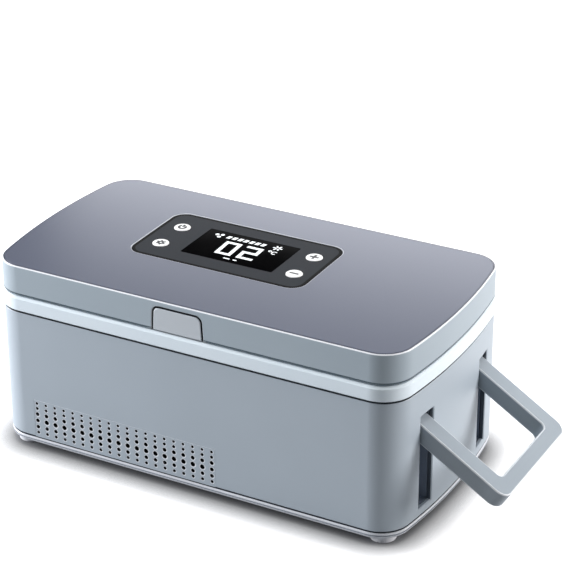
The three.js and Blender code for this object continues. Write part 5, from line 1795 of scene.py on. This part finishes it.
# Floor: a plain sheet of pale matt paper under the case, which stays near white in the picture.
# It keeps the case's shadow, and a painted shadow darkens its colour close under the case. It throws back
# less light than it shows.
FLOOR_HALF = 6.0
SHADOW_REACH = 15
SHADOW_CURVE = 2.5
FLOOR_LIFT = 0.72
corner_places = [(x * FLOOR_HALF, y * FLOOR_HALF, 0) for x, y in ((-1, -1), (1, -1), (1, 1), (-1, 1))]
floor_mesh = bpy.data.meshes.new("floor")
floor_mesh.from_pydata(corner_places, [], [(0, 1, 2, 3)])
floor = bpy.data.objects.new("floor", floor_mesh)
bpy.context.scene.collection.objects.link(floor)
paper, tree, place = blank_material("white_paper")
cloud = add_node(tree, "ShaderNodeTexNoise", {"Vector": place, "Scale": per(400), "Detail": 2})
rays = add_node(tree, "ShaderNodeLightPath").outputs
pair = {0: rays["Is Camera Ray"], 1: rays["Is Glossy Ray"]}
seen = add_node(tree, "ShaderNodeMath", pair, operation="MAXIMUM").outputs[0]
pair = {0: seen, 1: rays["Is Transmission Ray"]}
seen = add_node(tree, "ShaderNodeMath", pair, operation="MAXIMUM").outputs[0]
near = add_node(tree, "ShaderNodeAmbientOcclusion", {"Distance": SHADOW_REACH * MM}, samples=8)
clear = {0: near.outputs["AO"], 1: SHADOW_CURVE}
clear = add_node(tree, "ShaderNodeMath", clear, operation="POWER").outputs[0]
sheet = {0: cloud.outputs["Fac"], 6: linear("#c2c3c5"), 7: linear("#c8c9cb")}
sheet = add_node(tree, "ShaderNodeMix", sheet, data_type="RGBA").outputs[2]
shaded = {0: clear, 6: linear("#6a6c6f"), 7: sheet}
shaded = add_node(tree, "ShaderNodeMix", shaded, data_type="RGBA").outputs[2]
shown = {0: seen, 6: linear("#97999c"), 7: shaded}
shown = add_node(tree, "ShaderNodeMix", shown, data_type="RGBA").outputs[2]
matt = add_node(tree, "ShaderNodeBsdfDiffuse", {"Color": shown})
lift = add_node(tree, "ShaderNodeMath", {0: clear, 1: FLOOR_LIFT}, operation="MULTIPLY").outputs[0]
lift = add_node(tree, "ShaderNodeMath", {0: lift, 1: seen}, operation="MULTIPLY").outputs[0]
glow = add_node(tree, "ShaderNodeEmission", {"Color": linear("#ffffff"), "Strength": lift})
both = add_node(tree, "ShaderNodeAddShader", {0: matt.outputs[0], 1: glow.outputs[0]})
add_node(tree, "ShaderNodeOutputMaterial", {"Surface": both.outputs[0]})
floor_mesh.materials.append(paper)


# Studio light: a soft box at the left front, one at the right rear and one overhead,
# and a strip above and behind the lid whose reflection pales the back of the slate plate.
def soft_box(name, place, target, size, power, colour):
    """An area lamp at a place in metres, turned to a target."""
    lamp = bpy.data.lights.new(name, "AREA")
    lamp.shape = "RECTANGLE"
    lamp.size, lamp.size_y = size
    lamp.energy = power
    lamp.color = linear(colour)[:3]
    box = bpy.data.objects.new(name, lamp)
    box.location = place
    box.rotation_euler = (Vector(target) - Vector(place)).to_track_quat("-Z", "Y").to_euler()
    box.visible_camera = False
    bpy.context.scene.collection.objects.link(box)


MIDDLE = row_place(0, 0, 50)
soft_box("left_box", (-1.2, -0.42, 0.35), MIDDLE, (0.6, 0.6), 25.0, "#faf9fc")
soft_box("right_box", (1.3, 0.64, 0.42), MIDDLE, (0.6, 0.7), 21.5, "#fffaf8")
soft_box("overhead_box", (-0.1, -0.1, 1.3), MIDDLE, (1.0, 0.8), 9.5, "#ffffff")
soft_box("back_strip", row_place(0, 330, 215), row_place(0, 0, 106), (0.7, 0.1), 0.84, "#ffffff")
ROOM_LIGHT = 0.12
world = bpy.data.worlds.new("studio")
world.use_nodes = True
room = world.node_tree.nodes["Background"].inputs
room["Color"].default_value = linear("#f4f6f8")
room["Strength"].default_value = ROOM_LIGHT
bpy.context.scene.world = world
bpy.context.scene.view_settings.view_transform = "Standard"


# Camera: where the photograph was taken from, found from the case's straight edges.
# Its place is in millimetres like the sizes, its angles are in degrees and its lens is for a 36 mm sensor.
CAMERA_PLACE = (490.157, -859.817, 574.779)
CAMERA_YAW = 28.596
CAMERA_PITCH = 25.915
CAMERA_ROLL = -0.196
CAMERA_LENS = 135.36
SENSOR_WIDTH = 36
lens = bpy.data.cameras.new("camera")
lens.lens = CAMERA_LENS
lens.sensor_width = SENSOR_WIDTH
camera = bpy.data.objects.new("camera", lens)
facing = Matrix.Rotation(math.radians(CAMERA_YAW), 3, "Z")
facing = facing @ Matrix.Rotation(math.radians(90 - CAMERA_PITCH), 3, "X")
facing = facing @ Matrix.Rotation(math.radians(CAMERA_ROLL), 3, "Z")
camera.location = row_place(*CAMERA_PLACE)
camera.rotation_euler = facing.to_euler()
bpy.context.scene.collection.objects.link(camera)
bpy.context.scene.camera = camera
